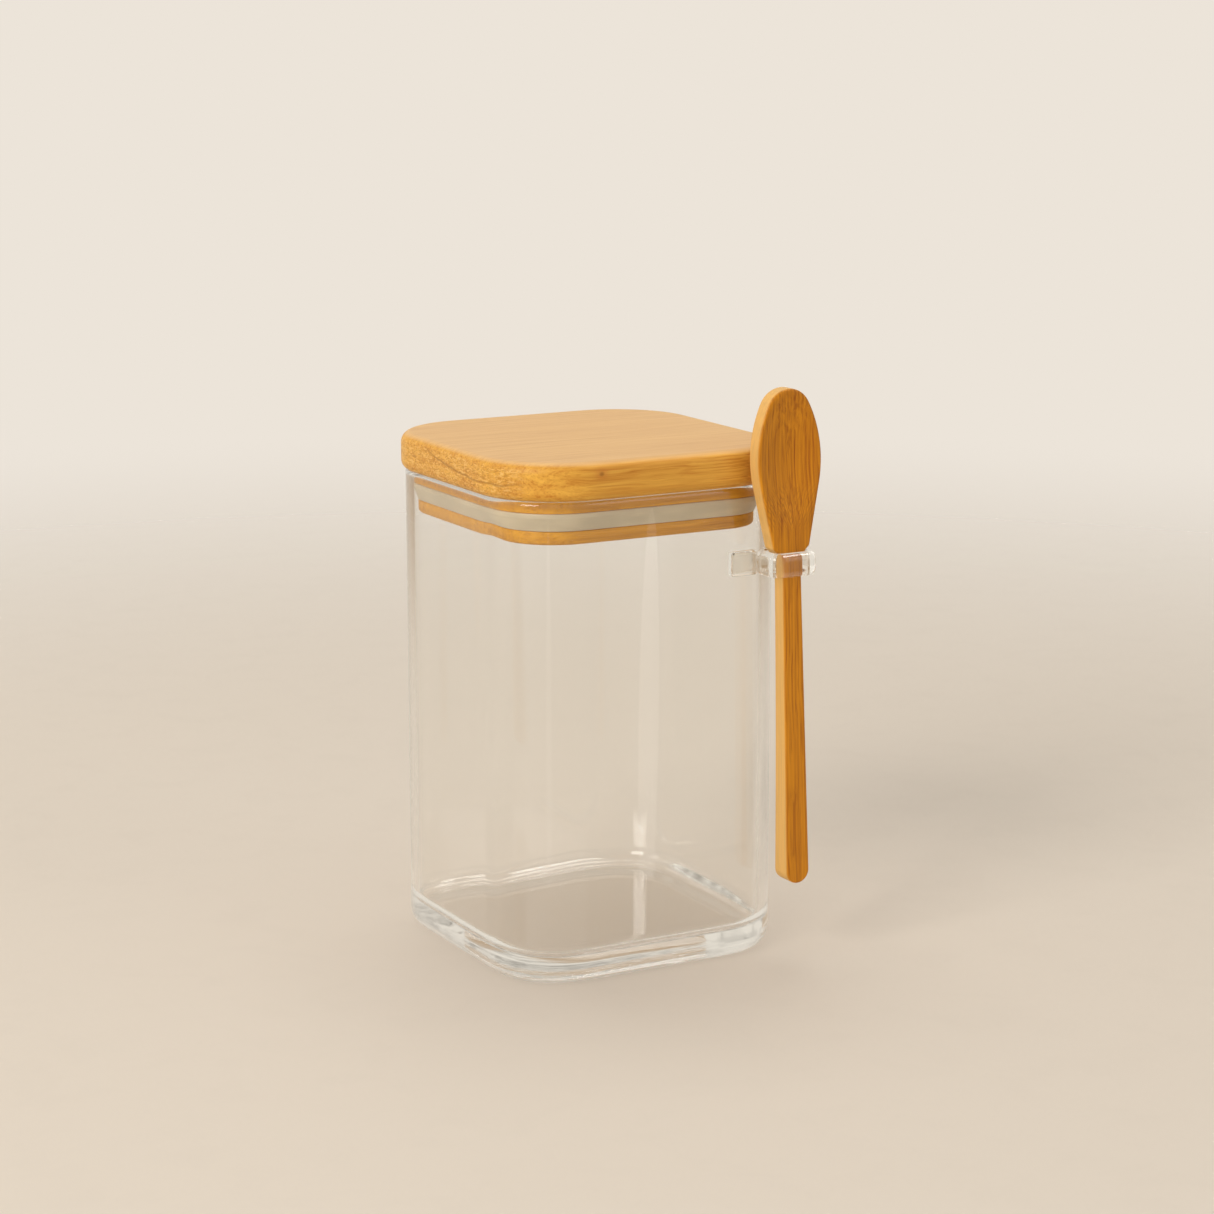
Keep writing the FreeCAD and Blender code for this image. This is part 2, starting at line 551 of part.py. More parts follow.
def make_spoon():
    body = new_body("spoon")
    front = draw_spoon_front(new_sketch(body, "SpoonFront", "XZ_Plane"))
    pad(body, front, "SpoonBlank", BLANK_THICK, down=True)
    waste = body.newObject("PartDesign::Pocket", "SpoonBack")
    waste.Profile = draw_spoon_back(new_sketch(body, "SpoonSide", "YZ_Plane"))
    waste.SideType = "Symmetric"
    waste.Type = "ThroughAll"
    document.recompute()
    corner = crosswise_at(size("Sizes.shoulder_width / 2"), size(SHOULDER_LEVEL))
    round_edges(body, "SpoonShoulder", "Sizes.shoulder_round", corner)
    hollow = crosswise_at(size("Sizes.handle_top_width / 2"), size(NECK_LEVEL))
    round_edges(body, "SpoonNeck", "Sizes.neck_round", hollow)
    round_edges(body, "SpoonFrontEdge", "Sizes.spoon_ease", lambda box: box.YMax < NEAR)
    back = size("min(Sizes.bowl_thick; Sizes.handle_end_thick)") - NEAR
    round_edges(body, "SpoonBackEdge", "Sizes.spoon_ease", lambda box: box.YMin > back and box.ZMax - box.ZMin > NEAR)
    scoop = body.newObject("PartDesign::SubtractiveEllipsoid", "SpoonScoop")
    scoop.AttachmentSupport = [(origin_plane(body, "XY_Plane"), "")]
    scoop.MapMode = "FlatFace"
    scoop.setExpression("AttachmentOffset.Base.y", "-Sizes.scoop_depth")
    scoop.setExpression("AttachmentOffset.Base.z", WIDEST_LEVEL)
    # The ellipsoid's middle stands in front of the bowl by half its reach, so its cut is sqrt(3) / 2 of its size
    scoop.setExpression("Radius1", f"{SCOOP_HALF_LENGTH} * 2 / sqrt(3)")
    scoop.setExpression("Radius2", f"{SCOOP_HALF_WIDTH} * 2 / sqrt(3)")
    scoop.setExpression("Radius3", "2 * Sizes.scoop_depth")
    body.Placement = Placement(Vector(0, 0, 0), Rotation(Vector(0, -1, 0), 1))
    body.setExpression("Placement.Base.x", RING_X)
    body.setExpression("Placement.Base.y", f"{RING_Y} - {RING_OPEN_Y} / 2 + Sizes.ring_play")
    body.setExpression("Placement.Base.z", HOLDER_TOP)
    body.setExpression("Placement.Rotation.Angle", "Sizes.spoon_tilt * 1 deg")
    document.recompute()
    return body


# The pieces, checked and written out


def write_pieces(pieces):
    """Stops at any broken feature or shape, then writes one STEP file for each piece."""
    document.recompute()
    for item in document.Objects:
        if "Invalid" in item.State or "Error" in item.State:
            raise RuntimeError(f"{item.Label}: {item.State}")
    os.makedirs("parts", exist_ok=True)
    for piece in pieces:
        shape = piece.Shape
        if shape.isNull() or not shape.isValid() or len(shape.Solids) != 1:
            raise RuntimeError(f"{piece.Label}: not one valid solid")
        shape.exportStep(f"parts/{piece.Label}.step")
        box = shape.optimalBoundingBox(False, False)
        low = f"{box.XMin:.2f} {box.YMin:.2f} {box.ZMin:.2f}"
        high = f"{box.XMax:.2f} {box.YMax:.2f} {box.ZMax:.2f}"
        print(f"{piece.Label}: {shape.Volume:.0f} cubic mm, {low} to {high}")


bond_outline = make_glass_outline("bond_outline", BOND_SIDE, BOND_CORNER)
write_pieces([
    make_glass_jar(),
    make_lid_board(),
    make_lid_plug(),
    make_lid_seal(),
    make_adhesive_pad(bond_outline),
    make_spoon_holder(bond_outline),
    make_spoon(),
])
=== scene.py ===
"""Looks of a square glass food canister with a bamboo lid, a soft seal, a clear ring and a bamboo spoon.

The file is laid out as an add-on and is run as a script. Lengths are metres in the part's own frame:
the jar stands on Z = 0 round the Z axis and -Y is the front, which carries the spoon near its +X end.
"""

import math  # noqa: E402
from functools import reduce  # noqa: E402

import bmesh  # noqa: E402
import bpy  # noqa: E402
from bpy.props import FloatProperty, FloatVectorProperty, IntProperty, PointerProperty  # noqa: E402
from mathutils import Matrix, Vector  # noqa: E402


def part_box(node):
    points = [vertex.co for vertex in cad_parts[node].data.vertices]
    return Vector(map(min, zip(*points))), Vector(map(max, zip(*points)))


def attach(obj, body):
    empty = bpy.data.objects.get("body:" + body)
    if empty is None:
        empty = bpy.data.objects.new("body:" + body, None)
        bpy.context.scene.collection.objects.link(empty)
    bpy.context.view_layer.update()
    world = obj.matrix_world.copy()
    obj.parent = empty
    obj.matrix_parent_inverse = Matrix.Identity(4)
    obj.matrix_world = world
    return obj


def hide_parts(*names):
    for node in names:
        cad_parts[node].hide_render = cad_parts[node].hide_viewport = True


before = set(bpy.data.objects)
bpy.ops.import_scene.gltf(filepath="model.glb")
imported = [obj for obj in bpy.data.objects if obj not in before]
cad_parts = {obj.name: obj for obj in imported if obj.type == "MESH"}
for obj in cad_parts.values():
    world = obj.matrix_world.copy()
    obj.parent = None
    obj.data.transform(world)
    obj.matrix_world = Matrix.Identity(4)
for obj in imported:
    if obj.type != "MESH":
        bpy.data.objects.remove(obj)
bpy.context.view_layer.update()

bl_info = {
    "name": "Glass canister with bamboo lid and spoon",
    "version": (1, 0, 0),
    "blender": (4, 5, 0),
    "location": "View3D > Sidebar > Canister",
    "description": "Builds the glass jar, bamboo lid, soft seal, clear spoon holder, bamboo spoon and a plain stage",
    "category": "Object",
}

MM = 0.001


# Sizes and finishes that a user would change

def across(node, axis):
    """Length of a solid of the frame along one axis."""
    low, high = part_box(node)
    return high[axis] - low[axis]


def level(node, top=True):
    """Highest or lowest level of a solid of the frame."""
    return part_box(node)[1 if top else 0].z


def length(name, text, default):
    return FloatProperty(
        name=name, description=text, default=default, min=0.0, precision=5, subtype="DISTANCE", unit="LENGTH")


def power(name, text, default):
    return FloatProperty(name=name, description=text, default=default, min=0.0, precision=4, unit="POWER")


def linear(code):
    """Scene-linear colour of a six-digit colour code."""
    parts = [int(code[i:i + 2], 16) / 255 for i in (0, 2, 4)]
    return tuple(c / 12.92 if c <= 0.04045 else ((c + 0.055) / 1.055) ** 2.4 for c in parts)


def colour(name, text, code):
    return FloatVectorProperty(
        name=name, description=text, default=linear(code), size=3, min=0.0, max=1.0, subtype="COLOR")


class CanisterSizes(bpy.types.PropertyGroup):
    """Lengths of the pieces."""

    jar_side: length("Jar side", "Outside width of the square jar", across("glass_jar", 0))
    jar_height: length("Jar height", "Height of the jar to its rim", level("glass_jar"))
    jar_corner: length("Jar corner", "Outside radius of the jar's upright corners", 20.0 * MM)
    wall: length("Wall", "Thickness of the glass wall", 3.2 * MM)
    floor: length("Floor", "Thickness of the glass base", 7.0 * MM)
    foot_round: length("Foot round", "Round between the wall and the underside", 5.0 * MM)
    floor_round: length("Floor round", "Round between the wall and the floor inside", 4.0 * MM)
    lid_side: length("Lid side", "Width of the lid board", across("lid_board", 0))
    lid_corner: length("Lid corner", "Radius of the lid board's corners", 23.5 * MM)
    lid_top: length("Lid top", "Level of the lid board's upper face", level("lid_board"))
    lid_base: length("Lid base", "Level of the lid board's lower face", level("lid_board", False))
    lid_top_round: length("Lid top round", "Round on the upper edge of the lid board", 3.0 * MM)
    lid_base_round: length("Lid base round", "Round on the lower edge of the lid board", 2.5 * MM)
    plug_base: length("Plug base", "Level of the plug's lower face", level("lid_plug", False))
    seal_top: length("Seal top", "Level of the seal's upper edge", level("lid_seal"))
    seal_base: length("Seal base", "Level of the seal's lower edge", level("lid_seal", False))
    ring_wall: length("Ring wall", "Thickness of the clear ring's wall", 2.3 * MM)
    bond: length("Bond", "Thickness of the clear pad between the glass and the ring's foot", 0.5 * MM)
    bowl_width: length("Bowl width", "Widest part of the spoon's bowl", 19.7 * MM)
    bowl_thick: length("Bowl thickness", "Thickness of the spoon's bowl", 4.9 * MM)
    handle_end_thick: length("Handle end thickness", "Thickness of the spoon's handle at its end", 6.8 * MM)
    scoop_depth: length("Scoop depth", "Depth of the hollow in the spoon's bowl", 2.1 * MM)
    spoon_edge: length("Spoon edge", "Round on the spoon's long edges", 0.7 * MM)
    corner_steps: IntProperty(
        name="Corner steps", description="Points on each rounded corner", default=22, min=4, max=64)


class CanisterFinishes(bpy.types.PropertyGroup):
    """Colours of the pieces."""

    lid_pale: colour("Lid pale", "Pale fibres of the lid", "EFB54A")
    lid_dark: colour("Lid dark", "Dark fibres of the lid", "BE721C")
    # Painted sheen: a paler colour laid on the lid's upper face in place of light reflected there.
    lid_top_sheen: colour("Lid top sheen", "Painted sheen on the lid's upper face", "E7C18F")
    lid_fleck: colour("Lid fleck", "Pale flecks in the lid's end grain", "F5CC7E")
    lid_halo: colour("Lid halo", "Wood round the lid's knot", "C4752A")
    lid_stain: colour("Lid stain", "Knot, growth line and dark strokes of the lid", "8A4F17")
    plug_pale: colour("Plug pale", "Pale fibres of the plug", "F4B02C")
    plug_dark: colour("Plug dark", "Dark fibres of the plug", "C27C12")
    spoon_pale: colour("Spoon pale", "Pale fibres of the spoon", "D98C12")
    spoon_dark: colour("Spoon dark", "Dark fibres of the spoon", "985002")
    # Painted light: a paler colour on the spoon's sides and back, so that they read as lit beside the darker front.
    spoon_side_light: colour("Spoon side light", "Painted light on the spoon's sides and back", "FBD182")
    spoon_line: colour("Spoon line", "Pointed growth lines of the spoon", "94560E")
    seal: colour("Seal", "Soft seal round the plug", "E2D2B2")
    glass: colour("Glass", "Tint of the jar's glass", "FEFEFD")
    caught: colour("Caught light", "Light that is turned many times inside the glass", "E4DDD0")
    ring: colour("Ring", "Tint of the clear ring", "FAF8F4")


class CanisterStage(bpy.types.PropertyGroup):
    """Floor, background and light."""

    floor: colour("Floor", "Plain pale floor", "E6DACA")
    backdrop: colour("Backdrop", "Plain pale background", "ECE4D9")
    side_card: colour("Side card", "Darker surroundings that only show inside the glass, along its edges", "A98B66")
    key_power: power("Key power", "Power of the large lamp at the upper left", 34.0)
    fill_power: power("Fill power", "Power of the lamp on the right", 4.0)
    top_power: power("Top power", "Power of the lamp above", 8.0)
    strip_power: power("Strip power", "Power of each thin upright lamp that shows in the glass", 0.0016)
    sparkle: FloatProperty(
        name="Sparkle", description="Brightness of the windows that only show as highlights", default=11.0, min=0.0)
    ambient: FloatProperty(
        name="Ambient", description="Even light from all round", default=0.45, min=0.0, max=2.0, subtype="FACTOR")


# Small helpers for node trees

def put(tree, kind, feeds=None, **settings):
    """Adds a node, sets its properties, then sets or links its inputs."""
    made = tree.nodes.new(kind)
    for name, value in settings.items():
        setattr(made, name, value)
    for key, value in (feeds or {}).items():
        socket = made.inputs[key]
        if isinstance(value, bpy.types.NodeSocket):
            tree.links.new(value, socket)
        else:
            socket.default_value = value
    return made


def follow(kind, feeds, **settings):
    """Adds a node to the tree of the sockets that feed it."""
    tree = next(v for v in feeds.values() if isinstance(v, bpy.types.NodeSocket)).id_data
    return put(tree, kind, feeds, **settings)


def maths(operation, *values, clamp=False):
    return follow("ShaderNodeMath", dict(enumerate(values)), operation=operation, use_clamp=clamp).outputs[0]


def plus(*values):
    return reduce(lambda a, b: maths("ADD", a, b), values)


def minus(first, second):
    return maths("SUBTRACT", first, second)


def times(*values):
    return reduce(lambda a, b: maths("MULTIPLY", a, b), values)


def most(*values):
    return reduce(lambda a, b: maths("MAXIMUM", a, b), values)


def vector_maths(operation, *values):
    return follow("ShaderNodeVectorMath", dict(enumerate(values)), operation=operation).outputs[0]


def vector_value(operation, *values):
    """Length, distance or product of vectors."""
    return follow("ShaderNodeVectorMath", dict(enumerate(values)), operation=operation).outputs["Value"]


def scaled(vector, factor):
    return follow("ShaderNodeVectorMath", {0: vector, "Scale": factor}, operation="SCALE").outputs[0]


def parts_of(vector):
    return follow("ShaderNodeSeparateXYZ", {0: vector}).outputs


def joined(x, y, z):
    return follow("ShaderNodeCombineXYZ", {0: x, 1: y, 2: z}).outputs[0]


def blend_colours(factor, first, second):
    mix = follow("ShaderNodeMix", {0: factor, 6: first, 7: second}, data_type="RGBA", clamp_factor=True)
    return mix.outputs[2]


def mixed(factor, first, second):
    return follow("ShaderNodeMixShader", {0: factor, 1: first, 2: second}).outputs[0]


def ramp(value, low, high, to_low=0.0, to_high=1.0):
    """Value carried from one range to another with soft ends."""
    feeds = {"Value": value, 1: low, 2: high, 3: to_low, 4: to_high}
    return follow("ShaderNodeMapRange", feeds, interpolation_type="SMOOTHSTEP").outputs[0]


def stretched_noise(place, grain, detail=2.0, rough=0.5, warp=0.0):
    """Noise whose grains, counted per unit of the place, are as long in each direction as the count is small."""
    moved = vector_maths("MULTIPLY", place, grain)
    feeds = {"Vector": moved, "Scale": 1.0, "Detail": detail, "Roughness": rough, "Distortion": warp}
    return follow("ShaderNodeTexNoise", feeds).outputs[0]


def full(rgb, share=1.0):
    """Colour with its alpha, or a darker share of it."""
    return (rgb[0] * share, rgb[1] * share, rgb[2] * share, 1.0)


def new_group(name, inputs, outputs):
    """Empty shader group with named sockets. Returns the tree, its input sockets by name and its output sockets."""
    tree = bpy.data.node_groups.new(name, "ShaderNodeTree")
    for socket, kind, default in inputs:
        made = tree.interface.new_socket(name=socket, in_out="INPUT", socket_type="NodeSocket" + kind)
        if default is not None:
            made.default_value = default
    for socket, kind in outputs:
        tree.interface.new_socket(name=socket, in_out="OUTPUT", socket_type="NodeSocket" + kind)
    way_in = tree.nodes.new("NodeGroupInput")
    return tree, {s.name: s for s in way_in.outputs}, tree.nodes.new("NodeGroupOutput").inputs


# Shared surface effects, whose grains are counted per millimetre

SWAY_GRAIN = (0.03, 0.12, 0.12)
BROAD_GRAIN = (0.007, 0.09, 0.09)
STREAK_GRAIN = (0.018, 0.85, 0.85)
VEIN_GRAIN = (0.024, 1.7, 1.7)
FINE_GRAIN = (0.07, 3.6, 3.6)
BUNDLE_GRAIN = (0.03, 1.25, 1.25)
SMUDGE_GRAIN = (0.055, 0.055, 0.04)
GRIT_GRAIN = (1.8, 1.8, 1.8)
SWAY_REACH = (0, 3.2, 2.2)
EVEN_TONE = 0.66


def bamboo_fibre_group():
    """Fibres along X of the given place in millimetres: streaks, growth layers across Z, veins and bundle ends."""
    name = "Bamboo fibre"
    if name in bpy.data.node_groups:
        return bpy.data.node_groups[name]
    tree, given, out = new_group(
        name,
        [("Place", "Vector", None), ("Pale", "Color", (0.8, 0.5, 0.2, 1)), ("Dark", "Color", (0.4, 0.2, 0.05, 1)),
         ("Streaks", "Float", 1.0), ("Layers", "Float", 1.0), ("Layer Spacing", "Float", 0.9),
         ("Bundles", "Float", 1.0)],
        [("Color", "Color"), ("Roughness", "Float"), ("Height", "Float")],
    )
    place, streaks = given["Place"], given["Streaks"]
    sway = minus(stretched_noise(place, SWAY_GRAIN), 0.5)
    sway = vector_maths("MULTIPLY", joined(0.0, sway, sway), SWAY_REACH)
    bent = vector_maths("ADD", place, sway)
    broad = stretched_noise(bent, BROAD_GRAIN)
    streak = stretched_noise(bent, STREAK_GRAIN, 4.0, 0.62)
    fine = stretched_noise(bent, FINE_GRAIN, 3.0, 0.6)
    vein = ramp(stretched_noise(bent, VEIN_GRAIN, 2.0, 0.55), 0.5, 0.64)
    depth = plus(parts_of(bent)["Z"], times(broad, 2.4))
    layer = maths("PINGPONG", maths("DIVIDE", depth, given["Layer Spacing"]), 1.0)
    bundle_place = vector_maths("MULTIPLY", bent, BUNDLE_GRAIN)
    bundle = follow("ShaderNodeTexVoronoi", {"Vector": bundle_place, "Scale": 1.0, "Randomness": 0.9})
    pore = times(ramp(bundle.outputs["Distance"], 0.12, 0.42, 1.0, 0.0), given["Bundles"])
    tone = EVEN_TONE
    for value, weight in (
            (streak, times(streaks, 1.5)), (fine, times(streaks, 0.7)), (broad, 0.7),
            (layer, times(given["Layers"], 0.35))):
        tone = plus(tone, times(minus(value, 0.5), weight))
    tone = minus(tone, times(pore, 0.3))
    tone = maths("SUBTRACT", tone, times(vein, streaks, 0.4), clamp=True)
    height = plus(times(streak, 0.6), times(fine, 0.45))
    height = minus(minus(height, times(vein, 0.3)), times(pore, 0.5))
    tree.links.new(blend_colours(tone, given["Dark"], given["Pale"]), out["Color"])
    tree.links.new(minus(0.53, times(tone, 0.12)), out["Roughness"])
    tree.links.new(height, out["Height"])
    return tree


def handling_group():
    """Faint smudges and long soft ripples that moulded clear and soft surfaces carry. Place is in millimetres."""
    name = "Handling marks"
    if name in bpy.data.node_groups:
        return bpy.data.node_groups[name]
    tree, given, out = new_group(
        name,
        [("Place", "Vector", None), ("Rough Low", "Float", 0.0), ("Rough High", "Float", 0.1),
         ("Ripple Length", "Float", 20.0)],
        [("Roughness", "Float"), ("Ripple", "Float"), ("Smudge", "Float")],
    )
    place, low = given["Place"], given["Rough Low"]
    smudge = ramp(stretched_noise(place, SMUDGE_GRAIN, 3.0, 0.55, 0.4), 0.45, 0.75)
    smudge = times(smudge, ramp(stretched_noise(place, GRIT_GRAIN), 0.25, 0.75, 0.6, 1.0))
    spread = scaled(place, maths("DIVIDE", 1.0, given["Ripple Length"]))
    tree.links.new(plus(low, times(smudge, minus(given["Rough High"], low))), out["Roughness"])
    tree.links.new(stretched_noise(spread, (1, 1, 1), 1.0, 0.4), out["Ripple"])
    tree.links.new(smudge, out["Smudge"])
    return tree


def handled(spot, rough_low, rough_high, ripple=20.0):
    """Outputs of the handling marks for a span of roughness and a length of ripples in millimetres."""
    feeds = {"Place": spot, "Rough Low": rough_low, "Rough High": rough_high, "Ripple Length": ripple}
    return follow("ShaderNodeGroup", feeds, node_tree=handling_group()).outputs


# Finishes

WAVE_GRAIN = (0.03, 0.03, 1.1)
CAUGHT_GRAIN = (0.16, 0.16, 1.5)
UPRIGHT_GRAIN = (1.3, 1.3, 0.004)
CLOUD_GRAIN = (0.07, 0.07, 0.3)
STROKE_GRAIN = (0.05, 0.55, 2.1)
WOBBLE_GRAIN = (0.1, 0.25, 0.25)
WANDER_GRAIN = (0.12, 0.5, 0.5)


def new_finish(name):
    """Empty material with its surface socket and the place on the piece."""
    made = bpy.data.materials.new(name)
    made.use_nodes = True
    tree = made.node_tree
    tree.nodes.clear()
    place = put(tree, "ShaderNodeTexCoord").outputs["Object"]
    return made, tree, tree.nodes.new("ShaderNodeOutputMaterial").inputs["Surface"], place


def in_millimetres(place, turn=(0, 0, 0), shift=(0, 0, 0)):
    feeds = {"Vector": place, "Location": shift, "Rotation": turn, "Scale": (1000, 1000, 1000)}
    return follow("ShaderNodeMapping", feeds).outputs[0]


def bumped(height, strength, distance):
    return follow("ShaderNodeBump", {"Strength": strength, "Distance": distance, "Height": height}).outputs[0]


def lets_lamps_through(tree, out, shader, share, glow=None):
    """Lamps and soft light reach what is behind the clear piece: their rays pass straight on, a little dimmed. Light
    that is caught inside and turned many times takes the colour of the pale surroundings."""
    path = put(tree, "ShaderNodeLightPath").outputs
    if glow is not None:
        caught = put(tree, "ShaderNodeEmission", {"Color": glow, "Strength": 1.0}).outputs[0]
        often = most(maths("GREATER_THAN", path["Glossy Depth"], 2.5), maths("GREATER_THAN", path["Ray Depth"], 8.5))
        often = times(often, maths("LESS_THAN", path["Diffuse Depth"], 0.5))
        shader = mixed(often, shader, caught)
    clear = put(tree, "ShaderNodeBsdfTransparent", {"Color": (share, share, share, 1)}).outputs[0]
    unbent = most(path["Is Shadow Ray"], path["Is Diffuse Ray"])
    tree.links.new(mixed(unbent, shader, clear), out)


def glass_finish(finishes, sizes):
    """Pressed clear glass: nearly flat walls, fine waves in the thick base and faint smudges."""
    made, tree, out, place = new_finish("Clear glass")
    spot = in_millimetres(place)
    marks = handled(spot, 0.0, 0.035, 26.0)
    height, floor = parts_of(spot)["Z"], sizes.floor / MM
    low = ramp(height, 0.6 * floor, 0.97 * floor, 1.0, 0.0)
    tall = ramp(height, 1.7 * floor, 2.6 * floor)
    straight = (sizes.jar_side / 2 - sizes.jar_corner) / MM
    flat = vector_maths("ABSOLUTE", vector_maths("MULTIPLY", spot, (1, 1, 0)))
    past = vector_maths("SUBTRACT", flat, (straight, straight, 0))
    past = vector_maths("MAXIMUM", past, (0, 0, 0))
    parts = parts_of(past)
    corner = ramp(times(parts["X"], parts["Y"]), 0.5, 8.0)
    inner, outer = (sizes.jar_corner - sizes.foot_round) / MM, (sizes.jar_corner - 0.6 * sizes.wall) / MM
    outside = ramp(vector_value("LENGTH", past), inner, outer)
    wave = stretched_noise(spot, WAVE_GRAIN, 3.0, 0.6, 0.35)
    ripple = plus(times(marks["Ripple"], 0.1), times(wave, low, outside, 1.5))
    shader = follow("ShaderNodeBsdfPrincipled", {
        "Base Color": full(finishes.glass), "Roughness": marks["Roughness"], "IOR": 1.5,
        "Transmission Weight": 1.0, "Normal": bumped(ripple, 0.12, 0.0012)})
    streak = ramp(stretched_noise(spot, CAUGHT_GRAIN, 3.0, 0.6, 0.3), 0.36, 0.64)
    upright = ramp(stretched_noise(spot, UPRIGHT_GRAIN), 0.4, 0.6)
    upright = plus(times(minus(upright, 0.4), corner), 0.4)
    dim = plus(times(streak, low), times(upright, tall))
    glow = blend_colours(dim, full(finishes.caught), full(finishes.caught, 0.42))
    lets_lamps_through(tree, out, shader.outputs[0], 0.93, glow)
    return made


def clear_finish(name, tint, rough, ripple, bump, bending, glow=None):
    """Cast clear plastic, a little milky, or a softer clear pad. Bump is its strength and distance."""
    made, tree, out, place = new_finish(name)
    marks = handled(in_millimetres(place), *rough, ripple)
    shader = follow("ShaderNodeBsdfPrincipled", {
        "Base Color": full(tint), "Roughness": marks["Roughness"], "IOR": bending,
        "Transmission Weight": 1.0, "Normal": bumped(marks["Ripple"], *bump)})
    lets_lamps_through(tree, out, shader.outputs[0], 0.9, glow)
    return made


def seal_finish(finishes):
    """Soft satin seal, slightly see-through at its edges."""
    made, tree, out, place = new_finish("Soft silicone")
    spot = in_millimetres(place)
    marks = handled(spot, 0.34, 0.5, 9.0)
    cloud = ramp(stretched_noise(spot, CLOUD_GRAIN), 0.3, 0.7)
    skin = blend_colours(cloud, full(finishes.seal, 0.86), full(finishes.seal))
    shader = follow("ShaderNodeBsdfPrincipled", {
        "Base Color": skin, "Roughness": marks["Roughness"], "IOR": 1.42,
        "Normal": bumped(marks["Ripple"], 0.15, 0.0008),
        "Subsurface Weight": 0.25, "Subsurface Radius": (1.0, 0.9, 0.75), "Subsurface Scale": 0.0015})
    tree.links.new(shader.outputs[0], out)
    return made


def bamboo_finish(name, pale, dark, figure, turn=(0, 0, 0), extra=None):
    """Oiled bamboo from the fibre group. Figure is the strength of streaks and layers, the layers' spacing and the
    strength of bundle ends. Extra adds marks of one piece to the colour and the height."""
    made, tree, out, place = new_finish(name)
    spot = in_millimetres(place, turn)
    feeds = {"Place": spot, "Pale": full(pale), "Dark": full(dark)}
    feeds.update(zip(("Streaks", "Layers", "Layer Spacing", "Bundles"), figure))
    fibre = follow("ShaderNodeGroup", feeds, node_tree=bamboo_fibre_group()).outputs
    tint, height = fibre["Color"], fibre["Height"]
    if extra:
        tint, height = extra(spot, tint, height)
    shader = follow("ShaderNodeBsdfPrincipled", {
        "Base Color": tint, "Roughness": fibre["Roughness"], "IOR": 1.46, "Specular IOR Level": 0.3,
        "Normal": bumped(height, 0.22, 0.00025)})
    tree.links.new(shader.outputs[0], out)
    return made


def lid_marks(finishes, top):
    """Marks of the lid board: a painted sheen that makes the top paler, short strokes and a growth line in the end
    grain, and one knot.
    """
    growth_middle, growth_radius = (0.0, -25.0, 288.4), 153.0
    knot_squeeze, knot_place = (0.8, 0.3, 1.0), (-15.6, -13.2, 138.5)

    def add(spot, tint, height):
        x, y, z = parts_of(spot)
        # Painted sheen: the lid's upper face is blended towards a paler colour, as if lit.
        top_sheen = ramp(z, top - 1.2, top - 0.1, 0.0, 0.6)
        tint = blend_colours(top_sheen, tint, full(finishes.lid_top_sheen))
        end = ramp(maths("ABSOLUTE", x), 36.0, 42.0)
        end = times(end, ramp(z, top - 2.4, top - 0.4, 1.0, 0.0))
        grain = stretched_noise(spot, STROKE_GRAIN, 2.0, 0.5, 1.1)
        fleck = times(end, ramp(grain, 0.36, 0.48, 0.6, 0.1))
        tint = blend_colours(fleck, tint, full(finishes.lid_fleck))
        stroke = times(ramp(grain, 0.52, 0.66), end, 0.45)
        wobble = stretched_noise(spot, WOBBLE_GRAIN)
        away = vector_value("DISTANCE", joined(0.0, y, z), growth_middle)
        away = plus(away, times(minus(wobble, 0.5), 1.6))
        line = ramp(maths("ABSOLUTE", minus(away, growth_radius)), 0.0, 0.55, 0.68, 0.0)
        line = times(line, end, ramp(y, 4.0, 16.0, 1.0, 0.0))
        gap = vector_value("DISTANCE", vector_maths("MULTIPLY", spot, knot_squeeze), knot_place)
        gap = plus(gap, times(wobble, 0.5))
        knot = ramp(gap, 0.35, 1.1, 0.8, 0.0)
        tint = blend_colours(ramp(gap, 0.6, 2.6, 0.45, 0.0), tint, full(finishes.lid_halo))
        mark = most(line, stroke, knot)
        tint = blend_colours(times(mark, 0.75), tint, full(finishes.lid_stain))
        return tint, minus(height, times(mark, 0.8))
    return add


def spoon_marks(finishes, origin, lean, scoop):
    """Marks of the spoon: painted light that makes the sides and back paler than the front, and pointed growth lines
    where the bowl meets the shoulder.
    Scoop is the hollow's half width, half length and middle level."""
    half_width, half_length, middle = (v / MM for v in scoop)
    steepness, line_step = -2.3, 0.9

    def add(spot, tint, height):
        place = put(spot.id_data, "ShaderNodeTexCoord").outputs["Object"]
        start = Matrix.Rotation(lean, 3, "Y") @ origin / MM
        x, y, z = parts_of(in_millimetres(place, (0, lean, 0), -start))
        wide = maths("DIVIDE", x, half_width)
        tall = maths("DIVIDE", minus(z, middle), half_length)
        wide, tall = (maths("POWER", v, 2.0) for v in (wide, tall))
        # Painted light: the sides and back, outside the hollow and behind the front, are blended towards a paler
        # colour.
        behind = most(ramp(plus(wide, tall), 1.0, 1.12), ramp(y, 2.3, 2.9))
        behind = times(behind, ramp(y, 0.1, 0.8))
        tint = blend_colours(times(behind, 0.6), tint, full(finishes.spoon_side_light))
        wander = times(stretched_noise(spot, WANDER_GRAIN), 7.0)
        steep = plus(z, times(maths("ABSOLUTE", x), steepness), wander)
        lines = ramp(maths("PINGPONG", steep, line_step), 0.35, 0.85)
        zone = times(ramp(z, 4.0, 9.0), ramp(z, 13.0, 20.0, 1.0, 0.0))
        mark = times(lines, zone, minus(1.0, behind), 0.4)
        return blend_colours(mark, tint, full(finishes.spoon_line)), minus(height, mark)
    return add


# Meshes

